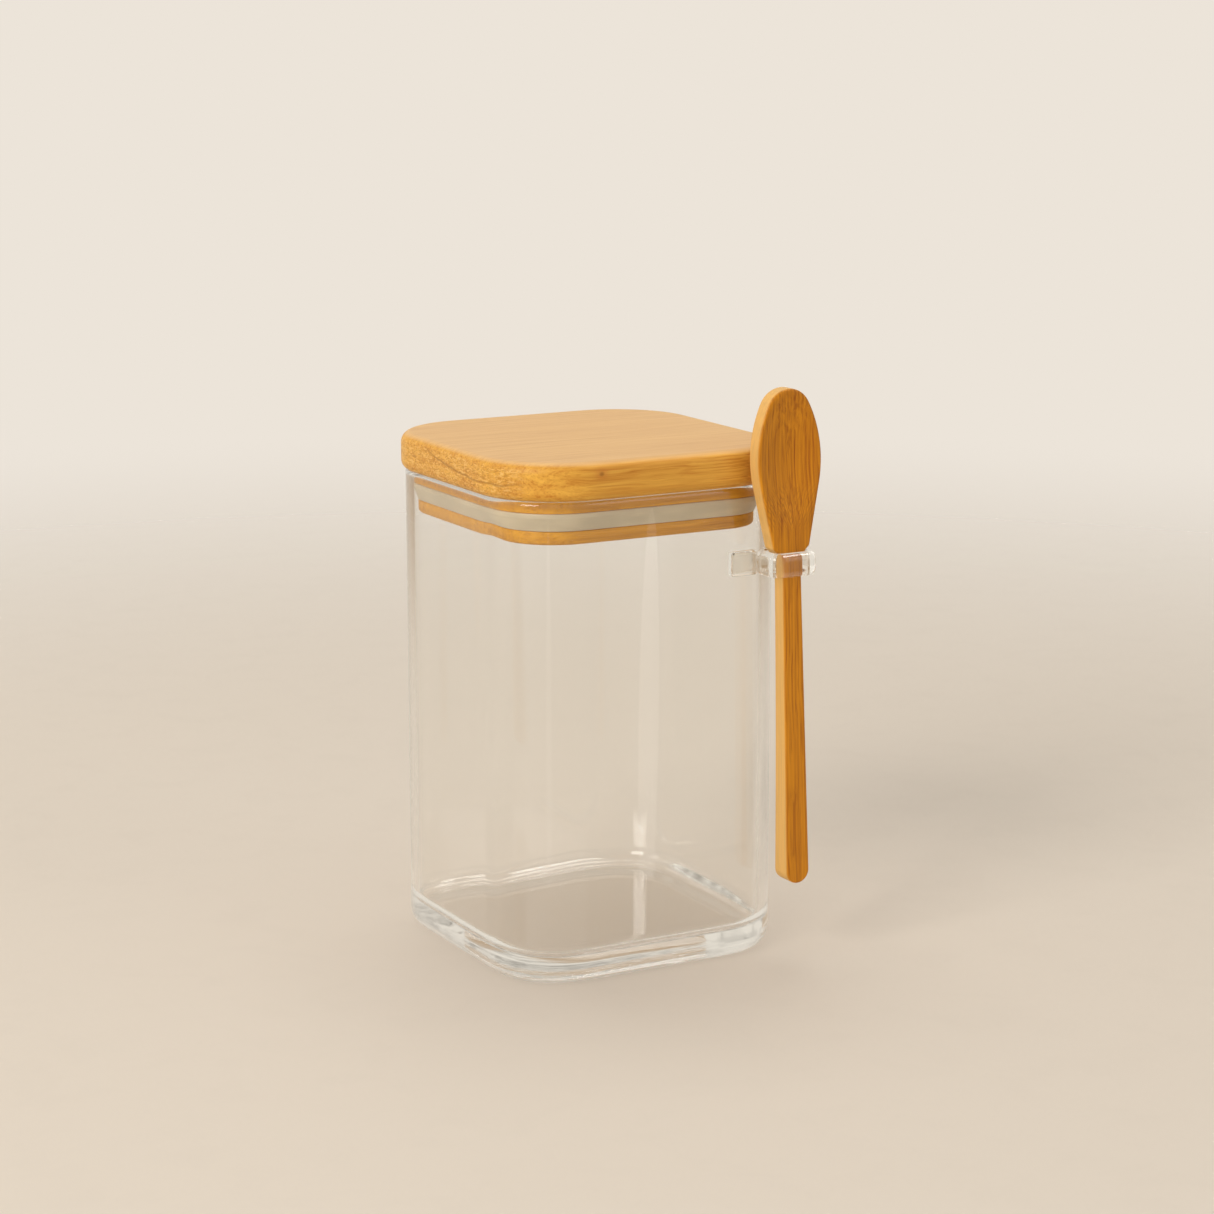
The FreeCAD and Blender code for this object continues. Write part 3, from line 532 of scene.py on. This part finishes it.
def rounded_section(corners, steps=7, closed=False, hold=0.6 * MM):
    """Section points (out, level) with each corner (out, level, radius) rounded, and held flat next to the rounds."""
    count = len(corners)
    runs = []
    for i, (x, z, radius) in enumerate(corners):
        here = Vector((x, z))
        if radius <= 0 or (not closed and i in (0, count - 1)):
            runs.append([here])
            continue
        before = (Vector(corners[i - 1][:2]) - here).normalized()
        after = (Vector(corners[(i + 1) % count][:2]) - here).normalized()
        half = before.angle(after) / 2
        reach = radius / math.tan(half)
        middle = here + (before + after).normalized() * (radius / math.sin(half))
        start, end = here + before * reach - middle, here + after * reach - middle
        turn = start.angle_signed(end)
        arc = []
        for k in range(steps + 1):
            angle = -turn * k / steps
            arc.append(middle + Vector((
                start.x * math.cos(angle) - start.y * math.sin(angle),
                start.x * math.sin(angle) + start.y * math.cos(angle))))
        runs.append(arc)
    points = []
    for i, run in enumerate(runs):
        points += run
        if i == count - 1 and not closed:
            break
        first, last = run[-1], runs[(i + 1) % count][0]
        span = (last - first).length
        if span > 4 * hold:
            points += [first.lerp(last, hold / span), first.lerp(last, 1 - hold / span)]
    return points


def sweep_tree():
    """Geometry Nodes tree that carries a section round a rounded rectangle and can close both of its ends flat."""
    name = "Rounded sweep"
    if name in bpy.data.node_groups:
        return bpy.data.node_groups[name]
    tree = bpy.data.node_groups.new(name, "GeometryNodeTree")
    for socket, kind in (("Section", "Geometry"), ("Length X", "Float"), ("Length Y", "Float"), ("Corner", "Float"),
                         ("Corner Steps", "Int"), ("Run Step", "Float"), ("Soften", "Int"), ("Close Start", "Bool"),
                         ("Close End", "Bool"), ("Finish", "Material")):
        tree.interface.new_socket(name=socket, in_out="INPUT", socket_type="NodeSocket" + kind)
    tree.interface.new_socket(name="Piece", in_out="OUTPUT", socket_type="NodeSocketGeometry")
    given = {s.name: s for s in tree.nodes.new("NodeGroupInput").outputs}

    def do(kind, feeds=None, **settings):
        return put(tree, "GeometryNode" + kind, feeds, **settings).outputs[0]

    section = do("MeshToCurve", {"Mesh": given["Section"]})
    line = do("CurvePrimitiveQuadrilateral", {"Width": given["Length X"], "Height": given["Length Y"]})
    line = do("FilletCurve", {"Curve": line, "Count": given["Corner Steps"], "Radius": given["Corner"],
                              "Limit Radius": True}, mode="POLY")
    here = do("InputPosition")
    following = plus(do("InputIndex"), 1.0)
    after = do("FieldAtIndex", {"Index": following, "Value": here}, data_type="FLOAT_VECTOR", domain="POINT")
    span = vector_value("DISTANCE", here, after)
    cuts = maths("FLOOR", maths("DIVIDE", span, given["Run Step"]))
    line = do("SubdivideCurve", {"Curve": line, "Cuts": cuts})
    soft = do("BlurAttribute", {"Value": here, "Iterations": given["Soften"]}, data_type="FLOAT_VECTOR")
    line = do("SetPosition", {"Geometry": line, "Position": soft})
    line = do("SetCurveNormal", {"Curve": line}, mode="Z_UP")
    shells = [do("CurveToMesh", {"Curve": line, "Profile Curve": section})]
    normal = do("InputNormal")
    for factor, wanted in ((0.0, given["Close Start"]), (1.0, given["Close End"])):
        end = put(tree, "GeometryNodeSampleCurve", {"Curves": section, "Factor": factor},
                  mode="FACTOR", use_all_curves=True)
        parts = parts_of(end.outputs["Position"])
        down = joined(0.0, 0.0, times(parts["Y"], -1.0))
        sheet = do("SetPosition", {"Geometry": line, "Offset": scaled(normal, parts["X"])})
        sheet = do("FillCurve", {"Curve": sheet}, mode="NGONS")
        sheet = do("Transform", {"Geometry": sheet, "Translation": down})
        shells.append(do("Switch", {"Switch": wanted, "True": sheet}, input_type="GEOMETRY"))
    whole = tree.nodes.new("GeometryNodeJoinGeometry")
    for shell in shells:
        tree.links.new(shell, whole.inputs[0])
    whole = do("MergeByDistance", {"Geometry": whole.outputs[0], "Distance": 2e-6})
    whole = do("RealizeInstances", {"Geometry": whole})
    whole = do("SetMaterial", {"Geometry": whole, "Material": given["Finish"]})
    tree.links.new(whole, tree.nodes.new("NodeGroupOutput").inputs[0])
    return tree


def new_object(name, mesh):
    made = bpy.data.objects.new(name, mesh)
    bpy.context.scene.collection.objects.link(made)
    return made


def plain_mesh(obj):
    """Turns the evaluated object into a plain mesh without modifiers."""
    bpy.context.view_layer.update()
    graph = bpy.context.evaluated_depsgraph_get()
    mesh = bpy.data.meshes.new_from_object(obj.evaluated_get(graph), depsgraph=graph)
    obj.modifiers.clear()
    old, obj.data = obj.data, mesh
    bpy.data.meshes.remove(old)
    mesh.name = obj.name
    return obj


def close_and_smooth(obj, finish, place=None, angle=38.0):
    """Merges doubles, turns faces outwards, moves the mesh to its place and shades it smooth between sharp edges."""
    mesh = obj.data
    work = bmesh.new()
    work.from_mesh(mesh)
    bmesh.ops.remove_doubles(work, verts=work.verts, dist=1e-6)
    bmesh.ops.dissolve_degenerate(work, edges=work.edges, dist=1e-7)
    bmesh.ops.recalc_face_normals(work, faces=work.faces)
    if place is not None:
        work.transform(place)
    loose = [e for e in work.edges if len(e.link_faces) != 2]
    work.to_mesh(mesh)
    work.free()
    if loose:
        raise RuntimeError(f"{obj.name} isn't closed: {len(loose)} open edges")
    mesh.materials.clear()
    mesh.materials.append(finish)
    mesh.shade_smooth()
    mesh.set_sharp_from_angle(angle=math.radians(angle))
    return obj


def swept(name, section, size, corner, finish, steps, closed=False, run=2.5 * MM, soften=0, place=None):
    """A piece made by carrying a section round a rounded rectangle, whose corners can run softly into its sides."""
    verts = [(p.x, -p.y, 0.0) for p in section]
    edges = [(i, i + 1) for i in range(len(verts) - 1)] + ([(len(verts) - 1, 0)] if closed else [])
    mesh = bpy.data.meshes.new(name)
    mesh.from_pydata(verts, edges, [])
    obj = new_object(name, mesh)
    sweep = obj.modifiers.new("Rounded sweep", "NODES")
    sweep.node_group = sweep_tree()
    values = {"Length X": size[0], "Length Y": size[1], "Corner": corner, "Corner Steps": steps, "Run Step": run,
              "Soften": soften, "Close Start": not closed, "Close End": not closed, "Finish": finish}
    for socket in sweep.node_group.interface.items_tree:
        if socket.in_out == "INPUT" and socket.name in values:
            sweep[socket.identifier] = values[socket.name]
    return close_and_smooth(plain_mesh(obj), finish, place)


def belongs(obj, body, slot, *nodes):
    """Ties a finished piece to the body it moves with and hides the solids it stands for. The slot, the name of its
    finish, is not used.
    """
    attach(obj, body)
    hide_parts(*nodes)


# Operators, one for each piece

class CanisterOperator:
    bl_options = {"REGISTER", "UNDO"}

    @property
    def sizes(self):
        return bpy.context.scene.canister_sizes

    @property
    def finishes(self):
        return bpy.context.scene.canister_finishes


class CANISTER_OT_glass_jar(CanisterOperator, bpy.types.Operator):
    """Square pressed-glass jar with a thick base and a rounded rim."""

    bl_idname = "canister.glass_jar"
    bl_label = "Glass jar"

    def execute(self, context):
        s = self.sizes
        rim, top = 1.2 * MM, s.jar_height - 0.03 * MM
        section = rounded_section([
            (-s.wall - s.floor_round - 3 * MM, s.floor, 0), (-s.wall, s.floor, s.floor_round), (-s.wall, top, rim),
            (0, top, rim), (0, 0, s.foot_round), (-s.foot_round - 3 * MM, 0, 0)], steps=9)
        jar = swept("jar_glass", section, (s.jar_side, s.jar_side), s.jar_corner, glass_finish(self.finishes, s), 32,
                    run=1.0 * MM, soften=12)
        belongs(jar, "jar", "clear_glass", "glass_jar")
        return {"FINISHED"}


class CANISTER_OT_lid(CanisterOperator, bpy.types.Operator):
    """Bamboo lid: the rounded board and the stepped plug under it."""

    bl_idname = "canister.lid"
    bl_label = "Bamboo lid"

    groove, lip, plug_corner = 70.1 * MM, 74.4 * MM, 16.4 * MM

    def execute(self, context):
        s, f = self.sizes, self.finishes
        finish = bamboo_finish("Lid bamboo", f.lid_pale, f.lid_dark, (0.8, 0.6, 1.6, 0.7),
                               extra=lid_marks(f, s.lid_top / MM))
        section = rounded_section([
            (-s.lid_top_round - 4 * MM, s.lid_top, 0), (0, s.lid_top, s.lid_top_round),
            (0, s.lid_base, s.lid_base_round), (-s.lid_base_round - 4 * MM, s.lid_base, 0)], steps=9)
        board = swept("lid_board_bamboo", section, (s.lid_side, s.lid_side), s.lid_corner, finish, s.corner_steps)
        belongs(board, "lid", "bamboo_lid", "lid_board")
        finish = bamboo_finish("Plug bamboo", f.plug_pale, f.plug_dark, (0.7, 0.6, 1.6, 0.8))
        neck = across("lid_plug", 0)
        in_groove, in_lip = (self.groove - neck) / 2, (self.lip - neck) / 2
        section = rounded_section([
            (-5 * MM, s.lid_base, 0), (0, s.lid_base, 0), (0, s.seal_top, 0.3 * MM),
            (in_groove, s.seal_top, 0.2 * MM), (in_groove, s.seal_base, 0.2 * MM), (in_lip, s.seal_base, 0.5 * MM),
            (in_lip, s.plug_base, 1.0 * MM), (in_lip - 5 * MM, s.plug_base, 0)], steps=6)
        plug = swept("lid_plug_bamboo", section, (neck, neck), self.plug_corner, finish, s.corner_steps)
        belongs(plug, "lid", "bamboo_lid", "lid_plug")
        return {"FINISHED"}


class CANISTER_OT_lid_seal(CanisterOperator, bpy.types.Operator):
    """Soft seal round the plug, with a land at the top, a flare below it and a slot that lets it give."""

    bl_idname = "canister.lid_seal"
    bl_label = "Soft seal"

    land, flare, inside, slot_depth, corner = 1.2 * MM, 1.7 * MM, 4.0 * MM, 2.6 * MM, 16.6 * MM
    slot_near, slot_far = 1.6 * MM, 2.6 * MM

    def execute(self, context):
        s = self.sizes
        side, top, base = across("lid_seal", 0), s.seal_top, s.seal_base
        near, far, deep = -self.slot_near, -self.slot_far, top - self.slot_depth
        section = rounded_section([
            (0, top, 0.35 * MM), (0, top - self.land, 0.8 * MM), (-self.flare, base, 0.4 * MM),
            (-self.inside, base, 0.2 * MM), (-self.inside, top, 0.2 * MM), (far, top, 0.2 * MM), (far, deep, 0.3 * MM),
            (near, deep, 0.3 * MM), (near, top, 0.2 * MM)], steps=5, closed=True, hold=0.2 * MM)
        seal = swept("lid_seal_soft", section, (side, side), self.corner, seal_finish(self.finishes), s.corner_steps,
                     closed=True)
        belongs(seal, "lid", "silicone", "lid_seal")
        return {"FINISHED"}


class CANISTER_OT_spoon_holder(CanisterOperator, bpy.types.Operator):
    """Clear ring with its foot, and the clear pad that holds the foot to the glass."""

    bl_idname = "canister.spoon_holder"
    bl_label = "Spoon holder"

    width, depth, corner = 14.75 * MM, 12.4 * MM, 3.7 * MM
    foot_long, foot_deep, foot_front = 8.65 * MM, 12.4 * MM, 1.9 * MM
    spare = 0.02 * MM

    def execute(self, context):
        self.holder()
        self.pad()
        return {"FINISHED"}

    def block(self, name, inset, top, base, size, corner, finish, steps, **more):
        """A plain rounded block, as a tool that cuts."""
        section = rounded_section([(-inset, top, 0), (0, top, 0), (0, base, 0), (-inset, base, 0)])
        return swept(name, section, size, corner, finish, steps, **more)

    def holder(self):
        s, f = self.sizes, self.finishes
        low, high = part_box("spoon_holder")
        finish = clear_finish("Clear plastic", f.ring, (0.07, 0.13), 12.0, (0.08, 0.0006), 1.49, full(f.caught))
        section = rounded_section([
            (0, high.z, 2.0 * MM), (0, low.z, 2.0 * MM), (-s.ring_wall, low.z, 0.5 * MM),
            (-s.ring_wall, high.z, 0.5 * MM)], steps=8, closed=True, hold=0.25 * MM)
        place = Matrix.Translation((high.x - self.width / 2, low.y + self.depth / 2, 0))
        ring = swept("spoon_holder_clear", section, (self.width, self.depth), self.corner, finish, 12, closed=True,
                     run=0.8 * MM, place=place)
        section = rounded_section([
            (-1.0 * MM, high.z, 0), (0, high.z, 0.8 * MM), (0, low.z, 0.8 * MM), (-1.0 * MM, low.z, 0)],
            steps=6, hold=0.2 * MM)
        front = self.foot_front + s.bond + s.jar_side / 2
        place = Matrix.Translation((low.x + self.foot_long / 2, self.foot_deep / 2 - front, 0))
        foot = swept("holder_foot", section, (self.foot_long, self.foot_deep), 1.2 * MM, finish, 10, run=0.8 * MM,
                     place=place)
        reach = s.jar_side + 2 * s.bond
        glass = self.block("glass_outline", 8 * MM, high.z + 2 * MM, low.z - 2 * MM, (reach, reach),
                           s.jar_corner + s.bond, finish, 4 * s.corner_steps)
        self.combine(foot, "DIFFERENCE", glass)
        self.combine(ring, "UNION", foot)
        close_and_smooth(ring, finish, angle=30.0)
        belongs(ring, "jar", "clear_acrylic", "spoon_holder")

    def pad(self):
        s, f = self.sizes, self.finishes
        low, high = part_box("adhesive_pad")
        finish = clear_finish("Clear adhesive", f.ring, (0.18, 0.32), 2.5, (0.3, 0.0004), 1.47)
        near, far = self.spare, s.bond - self.spare
        section = rounded_section([(far, high.z, 0), (far, low.z, 0), (near, low.z, 0), (near, high.z, 0)], closed=True)
        pad = swept("adhesive_pad_clear", section, (s.jar_side, s.jar_side), s.jar_corner, finish, 2 * s.corner_steps,
                    closed=True)
        middle = (low + high) / 2
        upright = Matrix(((1, 0, 0, middle.x), (0, 0, 1, middle.y), (0, 1, 0, middle.z), (0, 0, 0, 1)))
        window = self.block("bond_window", 0.4 * MM, 6 * MM, -6 * MM, (high.x - low.x, high.z - low.z), 1.0 * MM,
                            finish, 8, run=0.8 * MM, place=upright)
        self.combine(pad, "INTERSECT", window)
        close_and_smooth(pad, finish)
        belongs(pad, "jar", "clear_adhesive", "adhesive_pad")

    def combine(self, obj, operation, other):
        """Joins the other piece to this one, or cuts this one with it."""
        cut = obj.modifiers.new("Combine", "BOOLEAN")
        cut.operation, cut.solver, cut.object = operation, "EXACT", other
        plain_mesh(obj)
        bpy.data.objects.remove(other)


class CANISTER_OT_spoon(CanisterOperator, bpy.types.Operator):
    """Bamboo spoon: scooped bowl, shoulders that rest above the ring and a handle that thickens to a round end."""

    bl_idname = "canister.spoon"
    bl_label = "Bamboo spoon"

    tip, widest, shoulder, neck, end = 43.805 * MM, 24.705 * MM, 1.105 * MM, -1.745 * MM, -92.495 * MM
    tip_radius, shoulder_half, neck_half, end_radius = 7.0 * MM, 5.675 * MM, 2.85 * MM, 3.575 * MM
    origin, lean = Vector((34.35, -51.2, 114.3)) * MM, math.radians(2.1)
    scoop_margin, scoop_half_length, scoop_power = 0.86 * MM, 18.05 * MM, 1.15
    shoulder_round, neck_round, step = 1.15 * MM, 2.85 * MM, 2.2 * MM
    tip_steps, flank_steps, end_steps, edge_steps, cells = 26, 40, 22, 6, 26

    def side_line(self, s):
        """Right edge of the front view as (across, along) points from the tip to the end."""
        half = s.bowl_width / 2
        tip_middle = self.tip - self.tip_radius
        rise = tip_middle - self.widest
        flank = (half ** 2 + rise ** 2 - self.tip_radius ** 2) / (2 * (half - self.tip_radius))
        middle = Vector((half - flank, self.widest))
        crown = math.atan2(rise, flank - half)
        line = [Vector((self.tip_radius * math.sin(a), tip_middle + self.tip_radius * math.cos(a)))
                for a in ((math.pi / 2 - crown) * k / self.tip_steps for k in range(self.tip_steps))]
        gap = Vector((self.shoulder_half, self.shoulder)) - middle
        touch = math.atan2(gap.y, gap.x) + math.acos(flank / gap.length)
        line += [middle + flank * Vector((math.cos(a), math.sin(a)))
                 for a in (crown + (touch - crown) * k / self.flank_steps for k in range(self.flank_steps + 1))]
        end_middle = self.end + self.end_radius
        gap = Vector((self.neck_half, self.neck - end_middle))
        touch = math.atan2(gap.y, gap.x) - math.acos(self.end_radius / gap.length)
        last = Vector((self.end_radius * math.cos(touch), end_middle + self.end_radius * math.sin(touch)))
        corners = [(line[-1].x, line[-1].y, 0), (self.shoulder_half, self.shoulder, self.shoulder_round),
                   (self.neck_half, self.neck, self.neck_round), (last.x, last.y, 0)]
        below = rounded_section(corners, steps=9, hold=0.5 * MM)[1:]
        line += self.divided([line[-1]] + below)[1:]
        line += [Vector((self.end_radius * math.cos(a), end_middle + self.end_radius * math.sin(a)))
                 for a in (touch + (-math.pi / 2 - touch) * k / self.end_steps for k in range(1, self.end_steps + 1))]
        line[0].x = line[-1].x = 0.0
        return line

    def divided(self, points):
        """The same line with long runs divided."""
        made = [points[0]]
        for a, b in zip(points, points[1:]):
            parts = max(1, math.ceil((b - a).length / self.step))
            made += [a.lerp(b, k / parts) for k in range(1, parts + 1)]
        return made

    def thickness(self, s, along):
        """Thickness of the spoon at a place along it: even at the bowl, growing along the handle."""
        if along >= self.shoulder:
            return s.bowl_thick
        more, reach = s.handle_end_thick - s.bowl_thick, self.shoulder - self.end
        radius = (more ** 2 + reach ** 2) / (2 * more)
        return s.bowl_thick + radius - math.sqrt(radius ** 2 - (self.shoulder - along) ** 2)

    def scoop(self, s):
        """Half width and half length of the hollow."""
        return s.bowl_width / 2 - self.scoop_margin, self.scoop_half_length

    def hollow(self, s, x, along):
        """Depth of the scoop at a place on the front."""
        wide, tall = self.scoop(s)
        q = (x / wide) ** 2 + ((along - self.widest) / tall) ** 2
        return s.scoop_depth * max(0.0, 1 - q) ** self.scoop_power

    def execute(self, context):
        s, f = self.sizes, self.finishes
        right = self.side_line(s)
        loop = right + [Vector((-p.x, p.y)) for p in reversed(right[1:-1])]
        count, edge, cells = len(loop), s.spoon_edge, self.cells
        inward = []
        for i in range(count):
            along = loop[(i + 1) % count] - loop[i - 1]
            inward.append(Vector((along.y, -along.x)).normalized())
        mesh = bmesh.new()
        turn = Matrix.Rotation(-self.lean, 4, "Y")

        def point(x, along, depth):
            return mesh.verts.new(self.origin + turn @ Vector((x, depth, along)))

        turns = [math.pi / 2 * k / self.edge_steps for k in range(self.edge_steps + 1)]
        arc = [(edge * (1 - math.sin(a)), edge * (1 - math.cos(a))) for a in turns]
        walls = [(inset, 0.0, depth) for inset, depth in arc]
        walls += [(0.0, share, edge * (1 - 2 * share)) for share in (0.25, 0.5, 0.75)]
        walls += [(inset, 1.0, -depth) for inset, depth in reversed(arc)]
        rings = [[point(*(p + v * inset), share * self.thickness(s, p.y) + depth) for p, v in zip(loop, inward)]
                 for inset, share, depth in walls]
        for a, b in zip(rings, rings[1:]):
            for i in range(count):
                j = (i + 1) % count
                mesh.faces.new((a[i], a[j], b[j], b[i]))
        half = len(right)
        for ring, front in ((rings[0], True), (rings[-1], False)):
            rows = []
            for i in range(1, half - 1):
                p = loop[i] + inward[i] * edge
                row = [ring[i]]
                for k in range(1, cells):
                    x = p.x * (1 - 2 * k / cells)
                    depth = self.hollow(s, x, p.y) if front else self.thickness(s, loop[i].y)
                    row.append(point(x, p.y, depth))
                rows.append(row + [ring[count - i]])
            for a, b in zip(rows, rows[1:]):
                for k in range(cells):
                    mesh.faces.new((a[k], a[k + 1], b[k + 1], b[k]))
            for row, pole in ((rows[0], ring[0]), (rows[-1], ring[half - 1])):
                for k in range(cells):
                    mesh.faces.new((pole, row[k], row[k + 1]))
        made = bpy.data.meshes.new("spoon_bamboo")
        mesh.to_mesh(made)
        mesh.free()
        finish = bamboo_finish("Spoon bamboo", f.spoon_pale, f.spoon_dark, (0.8, 0.7, 0.55, 0.6),
                               (0, math.pi / 2 + self.lean, 0),
                               spoon_marks(f, self.origin, self.lean, (*self.scoop(s), self.widest)))
        spoon = close_and_smooth(new_object("spoon_bamboo", made), finish, angle=50.0)
        belongs(spoon, "spoon", "bamboo_spoon", "spoon")
        return {"FINISHED"}


class CANISTER_OT_stage(CanisterOperator, bpy.types.Operator):
    """Plain pale floor that fades into the background, soft lamps and the camera."""

    bl_idname = "canister.stage"
    bl_label = "Stage, light and camera"

    floor_radius, floor_drop, fade_from, fade_to = 2.4, 0.15 * MM, 0.25, 0.95
    # Each window that shows as a highlight: its direction, half angle, share of the sparkle, and if only glass shows it
    windows = (((0.47, -0.2, 0.86), 11, 1.3, False), ((0.47, 0.4, 0.78), 10, 0.35, True),
               ((0.15, 0.86, 0.49), 6, 0.16, True))
    lens, sensor, camera_place = 90.74, 36.0, (-0.3952, -0.7285, 0.2671)
    camera_axes = ((0.87581, -0.48265, 0), (0.0990, 0.1797, 0.9787), (-0.47238, -0.85718, 0.20518))

    def lamp(self, name, place, target, size, watts, tint):
        data = bpy.data.lights.new(name, "AREA")
        data.shape, data.size, data.size_y, data.energy, data.color = "RECTANGLE", size[0], size[1], watts, tint
        made = new_object(name, data)
        made.location = place
        made.rotation_mode = "QUATERNION"
        made.rotation_quaternion = (Vector(target) - Vector(place)).to_track_quat("-Z", "Y")
        return made

    def floor(self, stage):
        mesh = bmesh.new()
        bmesh.ops.create_circle(mesh, cap_ends=True, segments=96, radius=self.floor_radius)
        bmesh.ops.translate(mesh, verts=mesh.verts, vec=(0, 0, -self.floor_drop))
        data = bpy.data.meshes.new("stage_floor")
        mesh.to_mesh(data)
        mesh.free()
        finish, tree, out, place = new_finish("Pale floor")
        marks = handled(in_millimetres(place), 0.55, 0.62)
        skin = blend_colours(marks["Smudge"], full(stage.floor), full(stage.floor, 0.985))
        shader = follow("ShaderNodeBsdfPrincipled", {
            "Base Color": skin, "Roughness": marks["Roughness"], "Specular IOR Level": 0.05})
        fade = ramp(vector_value("LENGTH", place), self.fade_from, self.fade_to)
        clear = put(tree, "ShaderNodeBsdfTransparent").outputs[0]
        tree.links.new(mixed(fade, shader.outputs[0], clear), out)
        data.materials.append(finish)
        new_object("stage_floor", data)

    def world(self, stage):
        """Even light, with a pale background and highlight windows that only camera, mirror and glass rays see."""
        world = bpy.data.worlds.new("Studio")
        bpy.context.scene.world = world
        world.use_nodes = True
        tree = world.node_tree
        tree.nodes.clear()

        def background(tone, strength):
            return put(tree, "ShaderNodeBackground", {"Color": tone, "Strength": strength}).outputs[0]

        path = put(tree, "ShaderNodeLightPath").outputs
        seen = most(path["Is Camera Ray"], path["Is Glossy Ray"], path["Is Transmission Ray"])
        seen = times(seen, maths("LESS_THAN", path["Diffuse Depth"], 0.5))
        mirrored = maths("GREATER_THAN", path["Glossy Depth"], 0.5)
        turned = times(maths("GREATER_THAN", path["Transmission Depth"], 0.5), mirrored)
        way = put(tree, "ShaderNodeTexCoord").outputs["Generated"]
        shine = 0.0
        for middle, reach, share, in_glass in self.windows:
            near = vector_value("DOT_PRODUCT", way, Vector(middle).normalized())
            outer, inner = (math.cos(math.radians(part * reach)) for part in (1.2, 0.8))
            near = ramp(near, outer, inner, 0.0, share * stage.sparkle)
            shine = plus(shine, times(near, turned if in_glass else mirrored))
        carded = times(turned, ramp(parts_of(way)["Z"], -0.05, 0.15, 1.0, 0.75))
        tone = blend_colours(carded, full(stage.backdrop), full(stage.side_card))
        look = put(tree, "ShaderNodeAddShader", {0: background(tone, 1.0), 1: background((1.0, 0.99, 0.97, 1), shine)})
        light = background((1.0, 0.985, 0.965, 1), stage.ambient)
        tree.links.new(mixed(seen, light, look.outputs[0]),
                       tree.nodes.new("ShaderNodeOutputWorld").inputs["Surface"])

    def camera(self):
        data = bpy.data.cameras.new("Camera")
        data.lens, data.sensor_width, data.clip_start, data.clip_end = self.lens, self.sensor, 0.01, 20.0
        made = new_object("Camera", data)
        turn = Matrix(self.camera_axes).transposed().to_4x4()
        made.matrix_world = Matrix.Translation(self.camera_place) @ turn
        bpy.context.scene.camera = made

    def execute(self, context):
        stage = bpy.context.scene.canister_stage
        bpy.context.scene.view_settings.view_transform = "Standard"
        self.floor(stage)
        self.world(stage)
        warm = (1.0, 0.97, 0.93)
        self.lamp("Key", (-1.9, -0.8, 1.25), (0, 0, 0.08), (1.0, 1.3), stage.key_power, warm)
        self.lamp("Fill", (1.1, -1.7, 0.9), (0, 0, 0.07), (0.7, 1.4), stage.fill_power, warm)
        self.lamp("Top", (0.2, 0.6, 2.0), (0, 0, 0.08), (1.4, 1.0), stage.top_power, (1.0, 0.98, 0.95))
        for name, place, target, wide, share in (
                ("Right strip", (0.043, -0.126, 0.045), (-0.015, -0.042, 0.06), 0.006, 1.0),
                ("Left strip", (-0.09, -0.12, 0.045), (-0.036, -0.038, 0.06), 0.016, 1.6)):
            strip = self.lamp(name, place, target, (wide, 0.13), stage.strip_power * share, (1.0, 0.99, 0.97))
            strip.data.shape = "ELLIPSE"
            strip.visible_camera = strip.visible_diffuse = strip.visible_transmission = False
        self.camera()
        return {"FINISHED"}


OPERATORS = (
    CANISTER_OT_glass_jar,
    CANISTER_OT_lid,
    CANISTER_OT_lid_seal,
    CANISTER_OT_spoon_holder,
    CANISTER_OT_spoon,
    CANISTER_OT_stage,
)


class CANISTER_PT_build(bpy.types.Panel):
    """Sizes, finishes and the steps that build the canister."""

    bl_idname = "CANISTER_PT_build"
    bl_label = "Glass canister"
    bl_space_type = "VIEW_3D"
    bl_region_type = "UI"
    bl_category = "Canister"

    def draw(self, context):
        scene = context.scene
        for title, group in (("Sizes", scene.canister_sizes), ("Finishes", scene.canister_finishes),
                             ("Stage", scene.canister_stage)):
            box = self.layout.box()
            box.label(text=title)
            for name in group.__annotations__:
                box.prop(group, name)
        for operator in OPERATORS:
            self.layout.operator(operator.bl_idname)


CLASSES = (CanisterSizes, CanisterFinishes, CanisterStage, *OPERATORS, CANISTER_PT_build)


def register():
    for made in CLASSES:
        bpy.utils.register_class(made)
    bpy.types.Scene.canister_sizes = PointerProperty(type=CanisterSizes)
    bpy.types.Scene.canister_finishes = PointerProperty(type=CanisterFinishes)
    bpy.types.Scene.canister_stage = PointerProperty(type=CanisterStage)


def unregister():
    del bpy.types.Scene.canister_sizes, bpy.types.Scene.canister_finishes, bpy.types.Scene.canister_stage
    for made in reversed(CLASSES):
        bpy.utils.unregister_class(made)


def main():
    register()
    bpy.ops.canister.glass_jar()
    bpy.ops.canister.lid()
    bpy.ops.canister.lid_seal()
    bpy.ops.canister.spoon_holder()
    bpy.ops.canister.spoon()
    bpy.ops.canister.stage()


if __name__ == "__main__":
    main()
